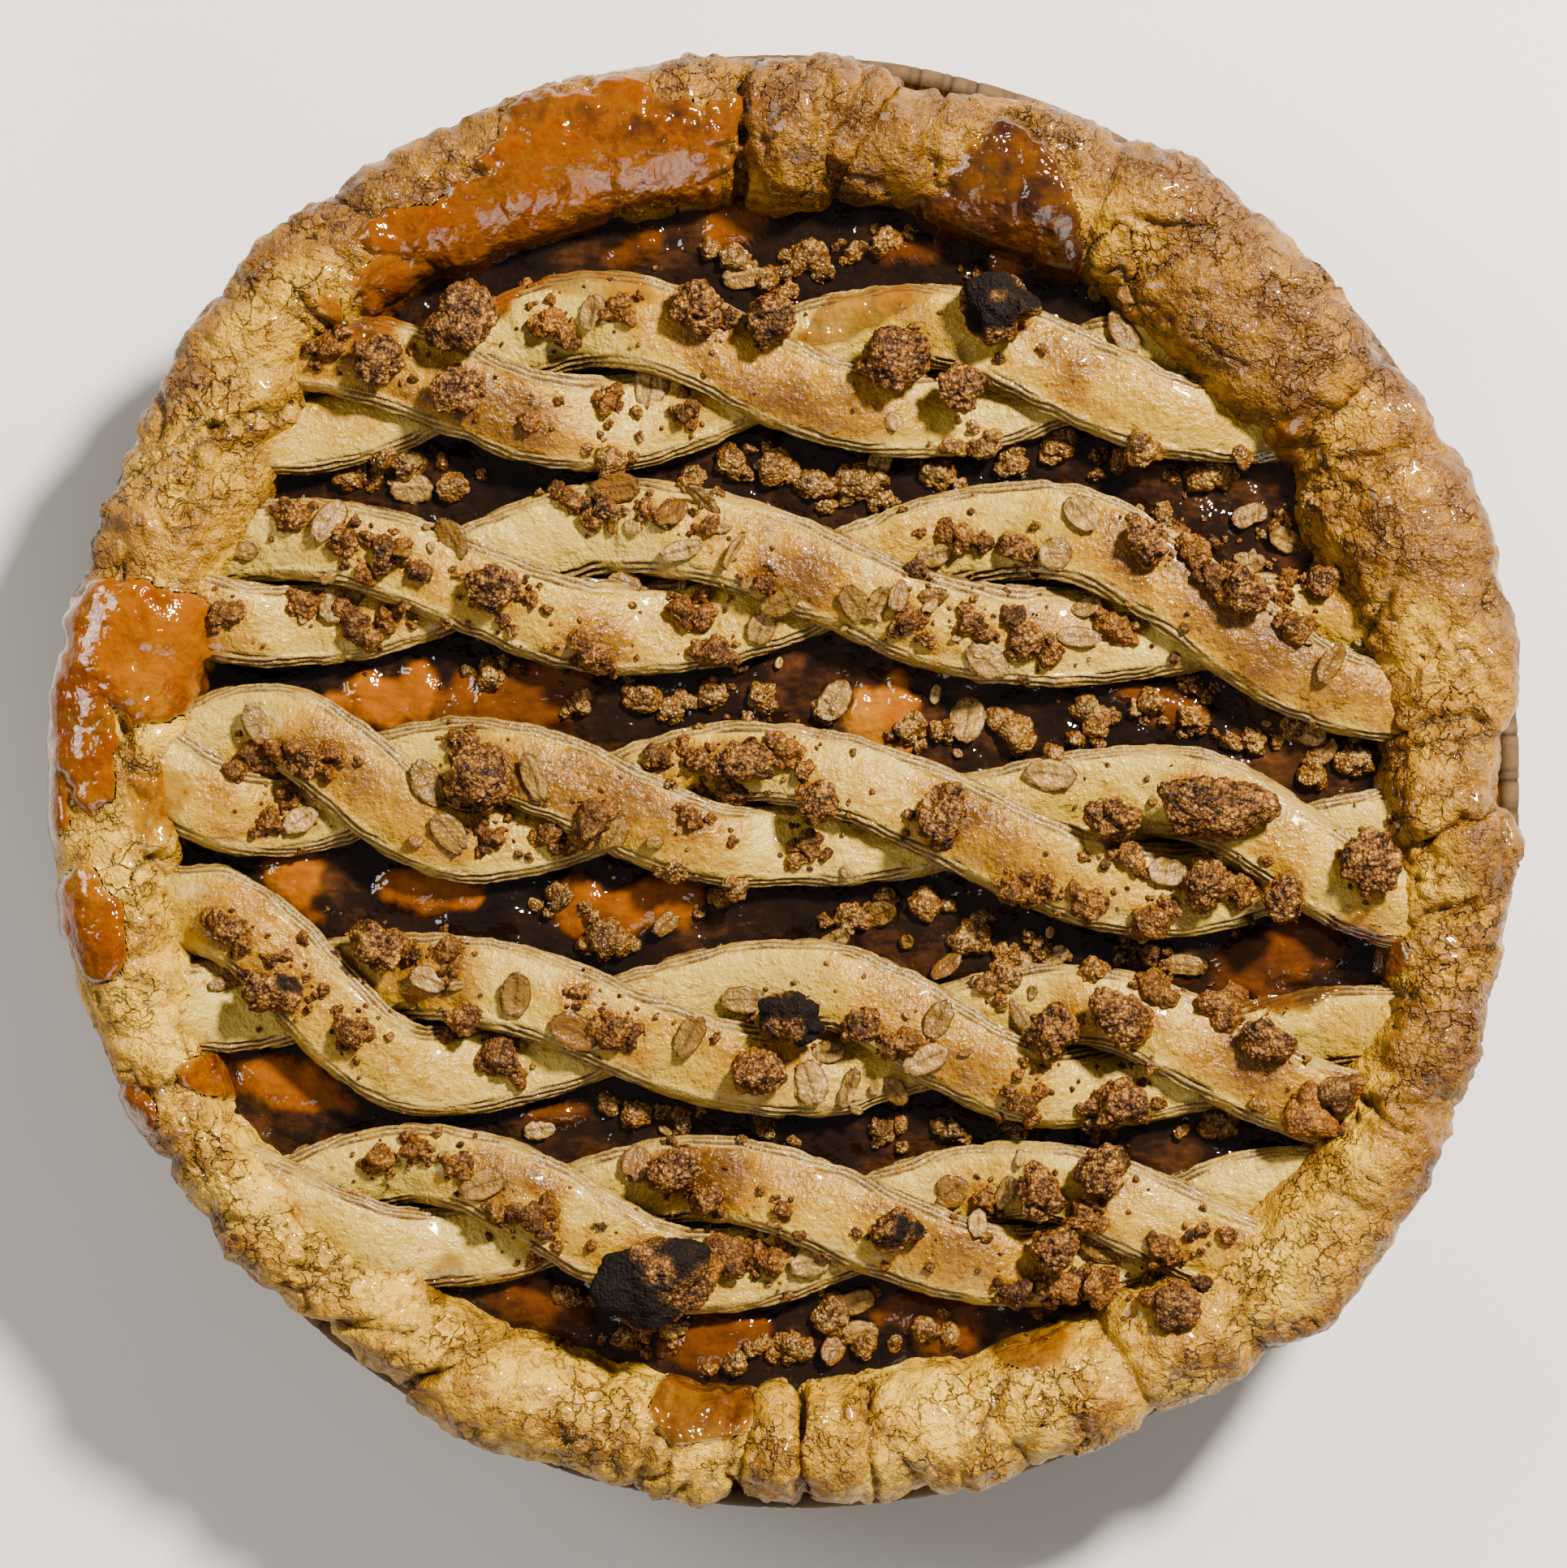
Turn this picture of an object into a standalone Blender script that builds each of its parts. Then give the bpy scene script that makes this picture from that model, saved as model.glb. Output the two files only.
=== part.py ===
"""Peach pie: twisted pastry strips and oat crumble over peach filling, in a paper baking pan.

Sizes below are in millimetres and degrees, and every mesh is written in metres. +Z is up, the pan
stands on z = 0 with its centre at the origin, and the strips run along X.
"""

import itertools
import math
import random

import bpy
import bmesh
from mathutils import Matrix, Vector, noise

MM = 0.001
GAP = 0.35

# Paper pan
PAN_FLOOR_RADIUS = 91.0
PAN_RIM_RADIUS = 119.6
PAN_HEIGHT = 38.0
PAPER = 1.0
RIM_ROLL = 1.7
PLEATS = 36
PLEAT_DEPTH = 0.45
PAN_BULGES = ((138.0, 36.0, 3.5), (36.0, 15.0, 1.5))

# Pastry shell
FLOOR_PASTRY = 5.0
WALL_PASTRY = 6.0
CRUST_UNDERSIDE = PAN_HEIGHT + 0.9
FILLING_LEVEL = 37.4

# Twisted strips
STRIP_THICKNESS = 3.0
STRIP_WIDTH = 15.0
STRIP_TURN_WIDTH = 13.2
STRIP_LEVEL = 43.1
STRIP_LIFT = 2.3
STRIP_ROLL = 10.0
STRIP_STATIONS = (0.0, 0.12, 0.3, 0.5, 0.7, 0.88)
STRIP_END_GAP = 1.0
STRIP_PASSING_GAP = 1.8

# Craggy lumps: how far their skin is pushed in and out, as shares of their size
LUMP_REACH = 0.9
LUMP_CRAGS = 0.22
LUMP_CRAG_SCALE = 3.2

# Small crumble and rolled oats, fused to what they lie on
SPRINKLE_SPACING = 11.5
SPRINKLE_SPREAD = 94.0
SPRINKLE_JITTER = 0.35
SPRINKLE_REACH = 0.55
OAT_SHARE = 0.42
OAT_LENGTHS = (6.0, 9.0)
OAT_WIDTHS = (0.5, 0.7)
OAT_THICKNESS = 2.6
OAT_DEPTH = 0.2
CRUMB_LENGTHS = (4.0, 7.5)
CRUMB_WIDTHS = (0.8, 1.0)
CRUMB_HEIGHT = 0.75
CRUMB_RISE = 0.06

# Peach slices: how thick they are, and how far their middle lies below the syrup's level
SLICE_THICKNESS = 6.4
SLICE_DEPTH = 1.6
SLICE_SHOWS = 1.9
SLICE_SHOWS_UNDER_STRIP = 0.45

SEED = 21

# Each fold of the crimped edge, anticlockwise: the angle of the crease that it starts from at the
# outer and the inner side, that crease's depth, and the fold's outer radius, inner radius and crest.
FOLDS = (
    (-174.0, -173.4, 2.0, 122.0, 102.5, 50.5),
    (-165.7, -165.3, 2.0, 122.0, 103.0, 50.0),
    (-160.0, -158.0, 2.5, 121.3, 104.5, 50.0),
    (-154.7, -154.0, 3.5, 121.0, 106.5, 49.0),
    (-149.0, -146.0, 2.5, 121.0, 104.0, 50.5),
    (-143.7, -138.5, 3.0, 120.8, 103.5, 50.5),
    (-136.0, -130.5, 3.0, 120.0, 101.5, 50.0),
    (-131.6, -124.5, 3.5, 118.6, 101.0, 50.0),
    (-123.6, -117.0, 4.0, 120.2, 99.5, 51.0),
    (-110.0, -107.0, 3.0, 118.0, 99.0, 50.5),
    (-103.0, -101.5, 3.5, 119.6, 100.5, 49.5),
    (-95.0, -93.0, 4.5, 116.8, 98.8, 50.5),
    (-88.0, -90.0, 4.5, 117.6, 98.5, 51.0),
    (-79.0, -84.0, 3.0, 119.3, 97.5, 51.0),
    (-70.6, -74.0, 4.0, 119.6, 99.0, 50.5),
    (-60.0, -60.5, 4.0, 121.4, 98.5, 50.5),
    (-50.0, -52.0, 3.5, 124.3, 102.5, 51.0),
    (-36.0, -37.5, 3.0, 122.3, 103.0, 51.5),
    (-26.0, -29.5, 3.0, 120.7, 102.0, 50.5),
    (-16.5, -18.5, 2.5, 119.8, 100.8, 50.0),
    (-8.0, -13.0, 3.0, 119.5, 98.5, 50.0),
    (-1.5, -6.5, 4.0, 115.8, 96.0, 50.5),
    (4.0, 3.2, 3.5, 120.3, 96.5, 51.0),
    (16.8, 19.9, 2.0, 121.2, 94.0, 51.5),
    (27.5, 30.5, 3.0, 120.1, 97.5, 50.5),
    (35.8, 33.5, 5.0, 121.5, 92.5, 53.0),
    (50.5, 56.5, 3.5, 120.4, 95.5, 51.5),
    (62.7, 61.5, 4.0, 118.4, 94.0, 50.5),
    (76.5, 77.3, 2.5, 115.6, 97.0, 50.5),
    (81.0, 86.5, 5.0, 119.5, 94.0, 52.5),
    (93.0, 95.2, 5.0, 119.6, 96.5, 50.5),
    (105.7, 107.0, 2.5, 121.2, 98.5, 50.0),
    (117.8, 116.6, 3.0, 122.4, 100.0, 50.0),
    (128.5, 124.5, 4.0, 124.3, 103.0, 51.0),
    (139.9, 135.7, 3.0, 124.2, 105.5, 51.0),
    (146.0, 139.6, 2.5, 122.5, 100.5, 50.5),
    (152.6, 147.5, 2.5, 121.6, 98.5, 50.5),
    (163.5, 159.4, 2.5, 121.7, 98.0, 50.5),
    (174.0, 172.0, 2.5, 121.8, 101.0, 50.5),
)
FOLD_STATIONS = (0.0, 0.2, 0.75)
CREASE_OUTSIDE = 0.55
CREASE_INSIDE = 0.35
CREASE_CREST = 0.55

# Each row of twisted strips: where the two strips stand furthest apart, as x, the row's middle line
# and the swing of each strip from it. Strip a is the upper one at the first of these places.
ROWS = (
    ((-85.0, 64.2, 6.9), (-32.5, 67.6, 9.9), (20.0, 67.8, 7.6), (71.0, 66.0, 6.9)),
    ((-84.0, 33.0, 7.3), (-28.0, 33.8, 9.5), (40.0, 32.8, 10.3), (100.0, 20.0, 6.9)),
    ((-87.0, 2.2, 7.8), (-53.0, -2.7, 6.9), (-8.0, -3.4, 7.0), (61.0, -9.5, 9.4), (105.0, -14.0, 6.9)),
    ((-98.0, -28.7, 9.0), (-60.0, -39.5, 8.4), (1.0, -40.1, 8.1), (45.0, -43.2, 6.9), (95.0, -46.6, 6.9)),
    ((-61.0, -69.3, 6.9), (-15.0, -72.4, 8.0), (38.0, -72.2, 6.9), (85.0, -72.8, 6.9)),
)

# Crumble lumps that are pieces of their own: x, y, length, width, height, turn.
LARGE_CRUMBLE = (
    (34.0, 78.0, 15.0, 12.5, 7.5, 20.0),
    (17.0, 68.0, 11.0, 12.0, 7.0, 70.0),
    (26.5, 64.5, 7.5, 8.0, 5.0, 60.0),
    (-54.0, 76.0, 12.5, 14.0, 7.0, 80.0),
    (-55.0, 64.0, 9.0, 9.5, 5.0, 60.0),
    (-68.0, 69.0, 9.5, 8.5, 5.0, 10.0),
    (-16.5, 78.0, 9.0, 10.5, 6.5, 70.0),
    (-4.0, 75.5, 9.5, 8.5, 6.0, 30.0),
    (-49.0, 32.5, 9.5, 9.0, 5.5, 0.0),
    (57.5, 40.0, 9.5, 8.5, 5.5, 0.0),
    (73.5, 31.0, 9.0, 8.0, 5.0, 20.0),
    (-52.0, 1.0, 12.0, 10.5, 6.5, -30.0),
    (-8.0, 3.5, 13.0, 8.0, 5.0, -15.0),
    (3.5, -3.0, 8.5, 7.5, 4.5, 30.0),
    (24.0, -6.0, 8.5, 13.5, 6.0, 0.0),
    (67.5, -4.0, 22.0, 12.0, 7.0, 8.0),
    (51.5, -5.5, 10.0, 8.5, 6.0, 10.0),
    (94.0, -12.5, 9.0, 12.0, 6.0, 25.0),
    (67.5, -15.5, 8.5, 9.0, 6.0, 0.0),
    (79.5, -18.5, 8.0, 9.0, 5.5, 0.0),
    (-68.0, -27.0, 10.0, 9.5, 6.0, 0.0),
    (-85.0, -34.0, 10.0, 8.5, 4.5, -20.0),
    (-1.0, -39.0, 9.5, 11.5, 6.0, 60.0),
    (-6.0, -47.0, 9.0, 8.0, 5.0, 0.0),
    (53.5, -37.5, 11.5, 10.5, 6.5, 0.0),
    (42.5, -41.0, 7.5, 10.0, 5.5, 15.0),
    (53.0, -52.5, 9.0, 9.0, 5.5, 0.0),
    (77.0, -42.5, 9.5, 7.0, 4.5, -20.0),
    (-22.0, -81.0, 21.0, 16.5, 8.5, 0.0),
    (16.0, -73.0, 10.0, 7.0, 4.5, -10.0),
    (-19.5, -63.5, 10.0, 9.5, 5.5, 0.0),
    (49.5, -64.0, 10.0, 10.0, 6.0, 0.0),
    (39.5, -66.5, 8.5, 10.0, 5.5, 0.0),
    (42.5, -76.0, 8.5, 8.0, 5.5, 0.0),
)

# Peach slices that show between the rows, half sunk in the syrup: x, y, length, width, turn.
PEACH_SLICES = (
    (-68.0, 14.0, 16.0, 12.0, 20.0), (-45.0, 13.0, 26.0, 13.0, 10.0), (14.0, 11.0, 15.0, 13.0, -20.0),
    (-83.0, -16.0, 13.0, 10.0, -30.0), (-60.0, -17.0, 20.0, 8.0, -5.0), (-27.0, -20.0, 30.0, 9.0, 8.0),
    (-83.0, -50.0, 18.0, 8.0, -12.0), (-40.0, -88.0, 22.0, 9.0, -25.0), (22.0, -89.0, 20.0, 9.0, -10.0),
    (-14.0, -91.0, 18.0, 9.0, 15.0), (-28.0, 87.0, 14.0, 5.0, 25.0), (20.0, 88.0, 16.0, 6.0, 5.0),
    (-40.0, -54.5, 14.0, 4.5, 5.0), (60.0, 12.0, 16.0, 7.0, -20.0),
)

# Syrup that boiled over the crust and set in thick runs: angle, distance along the fold from its
# outer foot (0) to its inner foot (1), size across and along the rim.
SYRUP_RUNS = (
    (168.0, 0.62, 11.0, 9.0), (169.0, 0.40, 11.0, 9.0), (172.0, 0.18, 8.0, 9.0),
    (178.0, 0.10, 6.0, 9.0), (-168.0, 0.22, 8.0, 10.0), (-153.0, 0.25, 9.0, 6.0),
)

PASTRY = ((0.62, 0.40, 0.17, 1.0), 0.55)
STRIP = ((0.72, 0.55, 0.31, 1.0), 0.5)
FILLING = ((0.13, 0.045, 0.012, 1.0), 0.15)
CRUMBLE = ((0.36, 0.17, 0.05, 1.0), 0.8)
PAPERBOARD = ((0.21, 0.13, 0.07, 1.0), 0.75)


def lerp(a, b, t):
    return a + (b - a) * t


def smooth(t):
    """Eased 0 to 1."""
    t = min(1.0, max(0.0, t))
    return t * t * (3 - 2 * t)


def clear_scene():
    for old in list(bpy.data.objects):
        bpy.data.objects.remove(old)


def new_collection(name):
    made = bpy.data.collections.new(name)
    bpy.context.scene.collection.children.link(made)
    return made


def new_material(name, look):
    colour, roughness = look
    made = bpy.data.materials.new(name)
    made.use_nodes = True
    shader = made.node_tree.nodes["Principled BSDF"]
    shader.inputs["Base Color"].default_value = colour
    shader.inputs["Roughness"].default_value = roughness
    shader.inputs["Metallic"].default_value = 0.0
    return made


def object_from(bm, name, collection, material=None):
    """The bmesh as a new object, in metres, with its faces turned outwards."""
    bmesh.ops.recalc_face_normals(bm, faces=bm.faces)
    bmesh.ops.scale(bm, vec=(MM, MM, MM), verts=bm.verts)
    mesh = bpy.data.meshes.new(name)
    bm.to_mesh(mesh)
    bm.free()
    mesh.shade_smooth()
    mesh.set_sharp_from_angle(angle=math.radians(40))
    made = bpy.data.objects.new(name, mesh)
    collection.objects.link(made)
    if material:
        mesh.materials.append(material)
    return made


def wrapped_grid(rows, columns, place):
    """A grid wrapped round the pie: place(row, column) gives a point in millimetres. The seam is
    merged, and so is a first or last row that lies in one point."""
    bm = bmesh.new()
    bmesh.ops.create_grid(bm, x_segments=rows - 1, y_segments=columns, size=0.5)
    for vert in bm.verts:
        row = round((vert.co.x + 0.5) * (rows - 1))
        column = round((vert.co.y + 0.5) * columns) % columns
        vert.co = place(row, column)
    bmesh.ops.remove_doubles(bm, verts=bm.verts, dist=1e-4)
    return bm


def turned(radius, angle, z):
    return Vector((radius * math.cos(angle), radius * math.sin(angle), z))


def pan_bulge(angle):
    """How far the soft paper stands out of round at this angle."""
    out = 0.0
    for centre, width, height in PAN_BULGES:
        away = (math.degrees(angle) - centre + 180) % 360 - 180
        out += height * math.exp(-((away / width) ** 2))
    return out


def pan_wall_radius(z):
    """Middle of the paper wall at height z, before its bulges."""
    top = PAN_RIM_RADIUS - 2 * RIM_ROLL - 0.6
    return lerp(PAN_FLOOR_RADIUS, top, z / (PAN_HEIGHT - RIM_ROLL))


def pan_profile():
    """Outer skin from the middle of the base up to the rolled rim, then the inner skin down."""
    half = PAPER / 2
    roll_z = PAN_HEIGHT - RIM_ROLL
    roll_r = PAN_RIM_RADIUS - RIM_ROLL
    points = [(0.0, 0.0, 0.0), (PAN_FLOOR_RADIUS - 1.5, 0.0, 0.0), (pan_wall_radius(1.5) + half, 1.5, 1.0)]
    points.append((pan_wall_radius(roll_z - 1.5) + half, roll_z - 1.5, 1.0))
    for degrees in (-110, -45, 15, 75, 130):
        turn = math.radians(degrees)
        points.append((roll_r + RIM_ROLL * math.cos(turn), roll_z + RIM_ROLL * math.sin(turn), 0.6))
    points.append((pan_wall_radius(roll_z) - half, roll_z, 1.0))
    points.append((pan_wall_radius(2.5) - half, 2.5, 1.0))
    points.append((PAN_FLOOR_RADIUS - 1.8, PAPER, 0.0))
    points.append((0.0, PAPER, 0.0))
    return points


def paper_pan(collection, material):
    profile = pan_profile()

    def place(row, column):
        radius, z, pleated = profile[row]
        angle = math.tau * column / (2 * PLEATS)
        out = pan_bulge(angle) * z / PAN_HEIGHT
        fold = PLEAT_DEPTH * pleated * (1 if column % 2 else -1)
        return turned(radius + out + fold if radius else 0.0, angle, z)

    return object_from(wrapped_grid(len(profile), 2 * PLEATS, place), "paper_pan", collection, material)


def fold_at(index, share):
    """The crimped edge a share of the way through a fold: its outer and inner angle in radians,
    outer radius, inner radius and crest height."""
    fold = FOLDS[index % len(FOLDS)]
    after = FOLDS[(index + 1) % len(FOLDS)]
    before = FOLDS[index - 1]
    turn = 360.0 if after[0] < fold[0] else 0.0
    outer_angle = lerp(fold[0], after[0] + turn, share)
    inner_angle = lerp(fold[1], after[1] + turn, share)
    swell = math.sin(math.pi * share) ** 0.55
    start = share < 0.5
    depth = fold[2] if start else after[2]
    other = before if start else after
    pinch_out = min(fold[3], other[3]) - CREASE_OUTSIDE * depth
    pinch_in = max(fold[4], other[4]) + CREASE_INSIDE * depth
    pinch_crest = min(fold[5], other[5]) - CREASE_CREST * depth
    return (
        math.radians(outer_angle),
        math.radians(inner_angle),
        lerp(pinch_out, fold[3], swell),
        lerp(pinch_in, fold[4], swell),
        lerp(pinch_crest, fold[5], swell),
    )


def fold_section(outer, inner, crest):
    """Section of the crimped edge, from its outer foot over the crest to below the filling's level:
    radius, height and how far the point is from the outer (0) to the inner side (1)."""
    return (
        (outer - 2.2, CRUST_UNDERSIDE + 0.2, 0.0),
        (outer, CRUST_UNDERSIDE + 2.6, 0.05),
        (outer - 1.4, lerp(CRUST_UNDERSIDE, crest, 0.7), 0.15),
        (lerp(outer, inner, 0.33), crest - 0.2, 0.4),
        (lerp(outer, inner, 0.68), crest - 1.2, 0.7),
        (inner + 1.6, lerp(FILLING_LEVEL, crest, 0.55), 0.95),
        (inner, FILLING_LEVEL + 1.5, 1.0),
        (inner - 2.0, FILLING_LEVEL - 3.0, 1.0),
    )


def fold_columns():
    return [fold_at(index, share) for index in range(len(FOLDS)) for share in FOLD_STATIONS]


def shell_wall_radius(z):
    """Outside of the pastry against the pan's wall."""
    return pan_wall_radius(z) - PAPER / 2 - PLEAT_DEPTH - GAP


def shell_point(radius, z, angle):
    return turned(radius + pan_bulge(angle) * z / PAN_HEIGHT, angle, z)


def pastry_shell(collection, material):
    """The bottom crust with its crimped edge, a dish of dough with one closed skin."""
    columns = fold_columns()
    base = PAPER + GAP
    floor = base + FLOOR_PASTRY
    top = PAN_HEIGHT - 1.0
    under = ((0.0, base), (PAN_FLOOR_RADIUS - 2.5, base))
    under += ((shell_wall_radius(top) - 0.4, top), (PAN_RIM_RADIUS - 4.6, CRUST_UNDERSIDE))
    inside = ((PAN_FLOOR_RADIUS - WALL_PASTRY, floor), (0.0, floor))
    rows = len(under) + len(fold_section(1.0, 1.0, 1.0)) + len(inside)

    def place(row, column):
        outer_angle, inner_angle, outer, inner, crest = columns[column]
        if row < len(under):
            radius, z = under[row]
            return shell_point(radius, z, outer_angle) if radius else Vector((0.0, 0.0, z))
        row -= len(under)
        section = fold_section(outer, inner, crest)
        if row < len(section):
            radius, z, across = section[row]
            return turned(radius, lerp(outer_angle, inner_angle, across), z)
        radius, z = inside[row - len(section)]
        return turned(radius, inner_angle, z)

    bm = wrapped_grid(rows, len(columns), place)
    return object_from(bm, "pastry_shell", collection, material)


def inner_radius(angle):
    """The crimped edge's inner radius at an angle in radians, at its narrowest nearby."""
    found = []
    for step in (-2.5, 0.0, 2.5):
        degrees = math.degrees(angle) + step
        for index, fold in enumerate(FOLDS):
            after = FOLDS[(index + 1) % len(FOLDS)][1]
            turn = 360.0 if after < fold[1] else 0.0
            share = ((degrees - fold[1]) % 360.0) / (after + turn - fold[1])
            if share < 1.0:
                found.append(fold_at(index, share)[3])
                break
    return min(found)


def peach_filling(collection, material, pieces):
    """Syrup and peach up to the level that shows, with the slices and crumble that lie in it."""
    columns = fold_columns()
    floor = PAPER + GAP + FLOOR_PASTRY + GAP
    foot = PAN_FLOOR_RADIUS - WALL_PASTRY
    rings = (0.0, 0.6)

    def place(row, column):
        inner_angle = columns[column][1]
        inner = columns[column][3]
        rim = inner - 0.6 - GAP
        if row < len(rings):
            z = FILLING_LEVEL + 0.5 * noise.noise(turned(rim * rings[row] / 9.0, inner_angle, 0.0))
            return turned(rim * rings[row], inner_angle, z if row else FILLING_LEVEL)
        wall = ((rim, FILLING_LEVEL - 0.3), (inner - 2.0 - GAP - 0.3, FILLING_LEVEL - 3.2))
        wall += ((foot - GAP - 0.2, floor), (0.0, floor))
        radius, z = wall[row - len(rings)]
        return turned(radius, inner_angle, z)

    bm = wrapped_grid(len(rings) + 4, len(columns), place)
    filling = object_from(bm, "peach_filling", collection, material)
    return fuse(filling, pieces)


def turn_state(turns, x):
    """The twist of a row at x: its phase, half a turn for each place in turns, its middle, its swing
    and how steeply the strips cross."""
    last = len(turns) - 2
    index = 0
    while index < last and x > turns[index + 1][0]:
        index += 1
    here = turns[index]
    after = turns[index + 1]
    share = (x - here[0]) / (after[0] - here[0])
    eased = smooth(share)
    swing = lerp(here[2], after[2], eased)
    slope = math.pi * swing / (after[0] - here[0])
    return math.pi * (index + share), lerp(here[1], after[1], eased), swing, slope


def strip_middle(turns, strand, x):
    """Middle of a strip at x: y, z, its roll as a slope, and how far its edges lie from it on the -Y
    and the +Y side. Where it swings out, its inner edge still reaches the middle of the row."""
    phase, middle, swing, slope = turn_state(turns, x)
    phase += math.pi * strand
    side = math.cos(phase)
    lift = math.sin(phase)
    rise = math.copysign(math.sqrt(abs(lift)), lift)
    steepest = math.tan(math.radians(STRIP_ROLL)) * (1 - 1.2 * min(slope, 0.8) ** 2)
    roll = -steepest * math.sin(2 * phase)
    outer = lerp(STRIP_WIDTH, STRIP_TURN_WIDTH, side * side) / 2
    inner = lerp(STRIP_WIDTH, 2 * swing - STRIP_PASSING_GAP, side * side) / 2
    low, high = (inner, outer) if side > 0 else (outer, inner)
    return middle + swing * side, STRIP_LEVEL + STRIP_LIFT * rise, roll, low, high


def strip_point(turns, strand, x, across):
    """A point of a strip's middle surface: across runs from -1 to 1 over its width."""
    y, z, roll, low, high = strip_middle(turns, strand, x)
    ahead = strip_middle(turns, strand, x + 0.5)[0]
    behind = strip_middle(turns, strand, x - 0.5)[0]
    normal = Vector((behind - ahead, 1.0)).normalized()
    offset = across * (low if across < 0 else high)
    return Vector((x + normal.x * offset, y + normal.y * offset, z + roll * offset))


def strip_reach(turns, strand, across, side):
    """The x at which this line along the strip meets the crimped edge, on side -1 or 1."""
    near, far = 0.0, side * 118.0
    for _ in range(30):
        x = (near + far) / 2
        point = strip_point(turns, strand, x, across)
        limit = inner_radius(math.atan2(point.y, point.x)) - STRIP_END_GAP
        if math.hypot(point.x, point.y) < limit:
            near = x
        else:
            far = x
    return near


def strip_top(x, y):
    """The highest strip over a place: its key (row, strand) and top height, or None and 0."""
    best, height = None, 0.0
    for row, turns in enumerate(ROWS):
        for strand in (0, 1):
            middle, z, roll, low, high = strip_middle(turns, strand, x)
            slope = strip_middle(turns, strand, x + 0.5)[0] - strip_middle(turns, strand, x - 0.5)[0]
            offset = (y - middle) / math.hypot(1.0, slope)
            top = z + roll * offset + STRIP_THICKNESS / 2
            if -low <= offset <= high and top > height:
                best, height = (row, strand), top
    return best, height


def strip_blank(row, strand, collection, material):
    """One strip, each long edge of it cut off where it meets the crimped edge."""
    turns = ROWS[row]
    ends = [[strip_reach(turns, strand, across, side) for side in (-1, 1)] for across in (-1, 1)]
    stations = [lerp(turns[0][0], turns[1][0], share - 1) for share in STRIP_STATIONS]
    for here, after in zip(turns, turns[1:]):
        stations += [lerp(here[0], after[0], share) for share in STRIP_STATIONS]
    stations = [-200.0, *stations, 200.0]
    bm = bmesh.new()
    bmesh.ops.create_grid(bm, x_segments=len(stations) - 1, y_segments=1, size=0.5)
    for vert in bm.verts:
        line = round(vert.co.y + 0.5)
        x = stations[round((vert.co.x + 0.5) * (len(stations) - 1))]
        left, right = ends[line]
        if x < left + 1.5:
            x = left
        elif x > right - 1.5:
            x = right
        vert.co = strip_point(turns, strand, x, (-1.0, 1.0)[line])
    bmesh.ops.remove_doubles(bm, verts=bm.verts, dist=1e-4)
    made = object_from(bm, f"strip_{row + 1}{'ab'[strand]}", collection, material)
    thick = made.modifiers.new("thickness", "SOLIDIFY")
    thick.thickness = STRIP_THICKNESS * MM
    thick.offset = 0.0
    return made


def evaluated_mesh(obj):
    bpy.context.view_layer.update()
    graph = bpy.context.evaluated_depsgraph_get()
    return bpy.data.meshes.new_from_object(obj.evaluated_get(graph))


def fuse(obj, pieces):
    """Joins the loose pieces on to obj with one union, applies it and removes them."""
    if pieces:
        group = new_collection(obj.name + "_pieces")
        for piece in pieces:
            group.objects.link(piece)
            for other in list(piece.users_collection):
                if other is not group:
                    other.objects.unlink(piece)
        join = obj.modifiers.new("pieces", "BOOLEAN")
        join.operation = "UNION"
        join.operand_type = "COLLECTION"
        join.collection = group
        join.solver = "MANIFOLD"
    mesh = evaluated_mesh(obj)
    obj.modifiers.clear()
    obj.data = mesh
    if pieces:
        for piece in pieces:
            bpy.data.objects.remove(piece)
        bpy.data.collections.remove(group)
    return obj


def sunk(point):
    """The point kept inside the crust, and below the strips where one passes over it."""
    reach = inner_radius(math.atan2(point.y, point.x)) - 5.5
    radius = math.hypot(point.x, point.y)
    if radius > reach:
        point = Vector((point.x * reach / radius, point.y * reach / radius, point.z))
    covered = any(strip_top(px, py)[0] for px, py in rim_of_circle(point.x, point.y, 1.2, 6))
    point.z = min(point.z, FILLING_LEVEL + (SLICE_SHOWS_UNDER_STRIP if covered else SLICE_SHOWS))
    return point


def lump(name, collection, material, place, size, turn, detail, draw, flat_at=None, in_filling=False):
    """A craggy lump: a ball stretched to size, with its skin pushed in and out, and a flat foot."""
    bm = bmesh.new()
    bmesh.ops.create_icosphere(bm, subdivisions=detail, radius=0.5)
    shift = Vector((draw.uniform(0, 50), draw.uniform(0, 50), 0.0))
    for vert in bm.verts:
        craggy = LUMP_REACH + LUMP_CRAGS * noise.noise(vert.co * LUMP_CRAG_SCALE + shift)
        vert.co = vert.co * craggy
    bmesh.ops.scale(bm, vec=size, verts=bm.verts)
    bmesh.ops.rotate(bm, matrix=Matrix.Rotation(math.radians(turn), 3, "Z"), verts=bm.verts)
    bmesh.ops.translate(bm, vec=place, verts=bm.verts)
    for vert in bm.verts:
        if flat_at is not None:
            vert.co.z = max(vert.co.z, flat_at)
        if in_filling:
            vert.co = sunk(vert.co)
    return object_from(bm, name, collection, material)


def rim_of_circle(x, y, radius, count=10):
    for step in range(count):
        angle = math.tau * step / count
        yield x + radius * math.cos(angle), y + radius * math.sin(angle)


def seat(x, y, radius):
    """What a small piece lies on: the key of a strip, 'filling', or None where it would cross a
    neighbour. Also the height of that surface."""
    key, height = strip_top(x, y)
    if math.hypot(x, y) > inner_radius(math.atan2(y, x)) - radius - 1.5:
        return None, 0.0
    for px, py in rim_of_circle(x, y, radius + 0.6):
        other, other_height = strip_top(px, py)
        if key is None and other is not None:
            return None, 0.0
        if key is not None and other not in (None, key) and other_height > height - 1.0:
            return None, 0.0
    return key or "filling", height or FILLING_LEVEL


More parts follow.
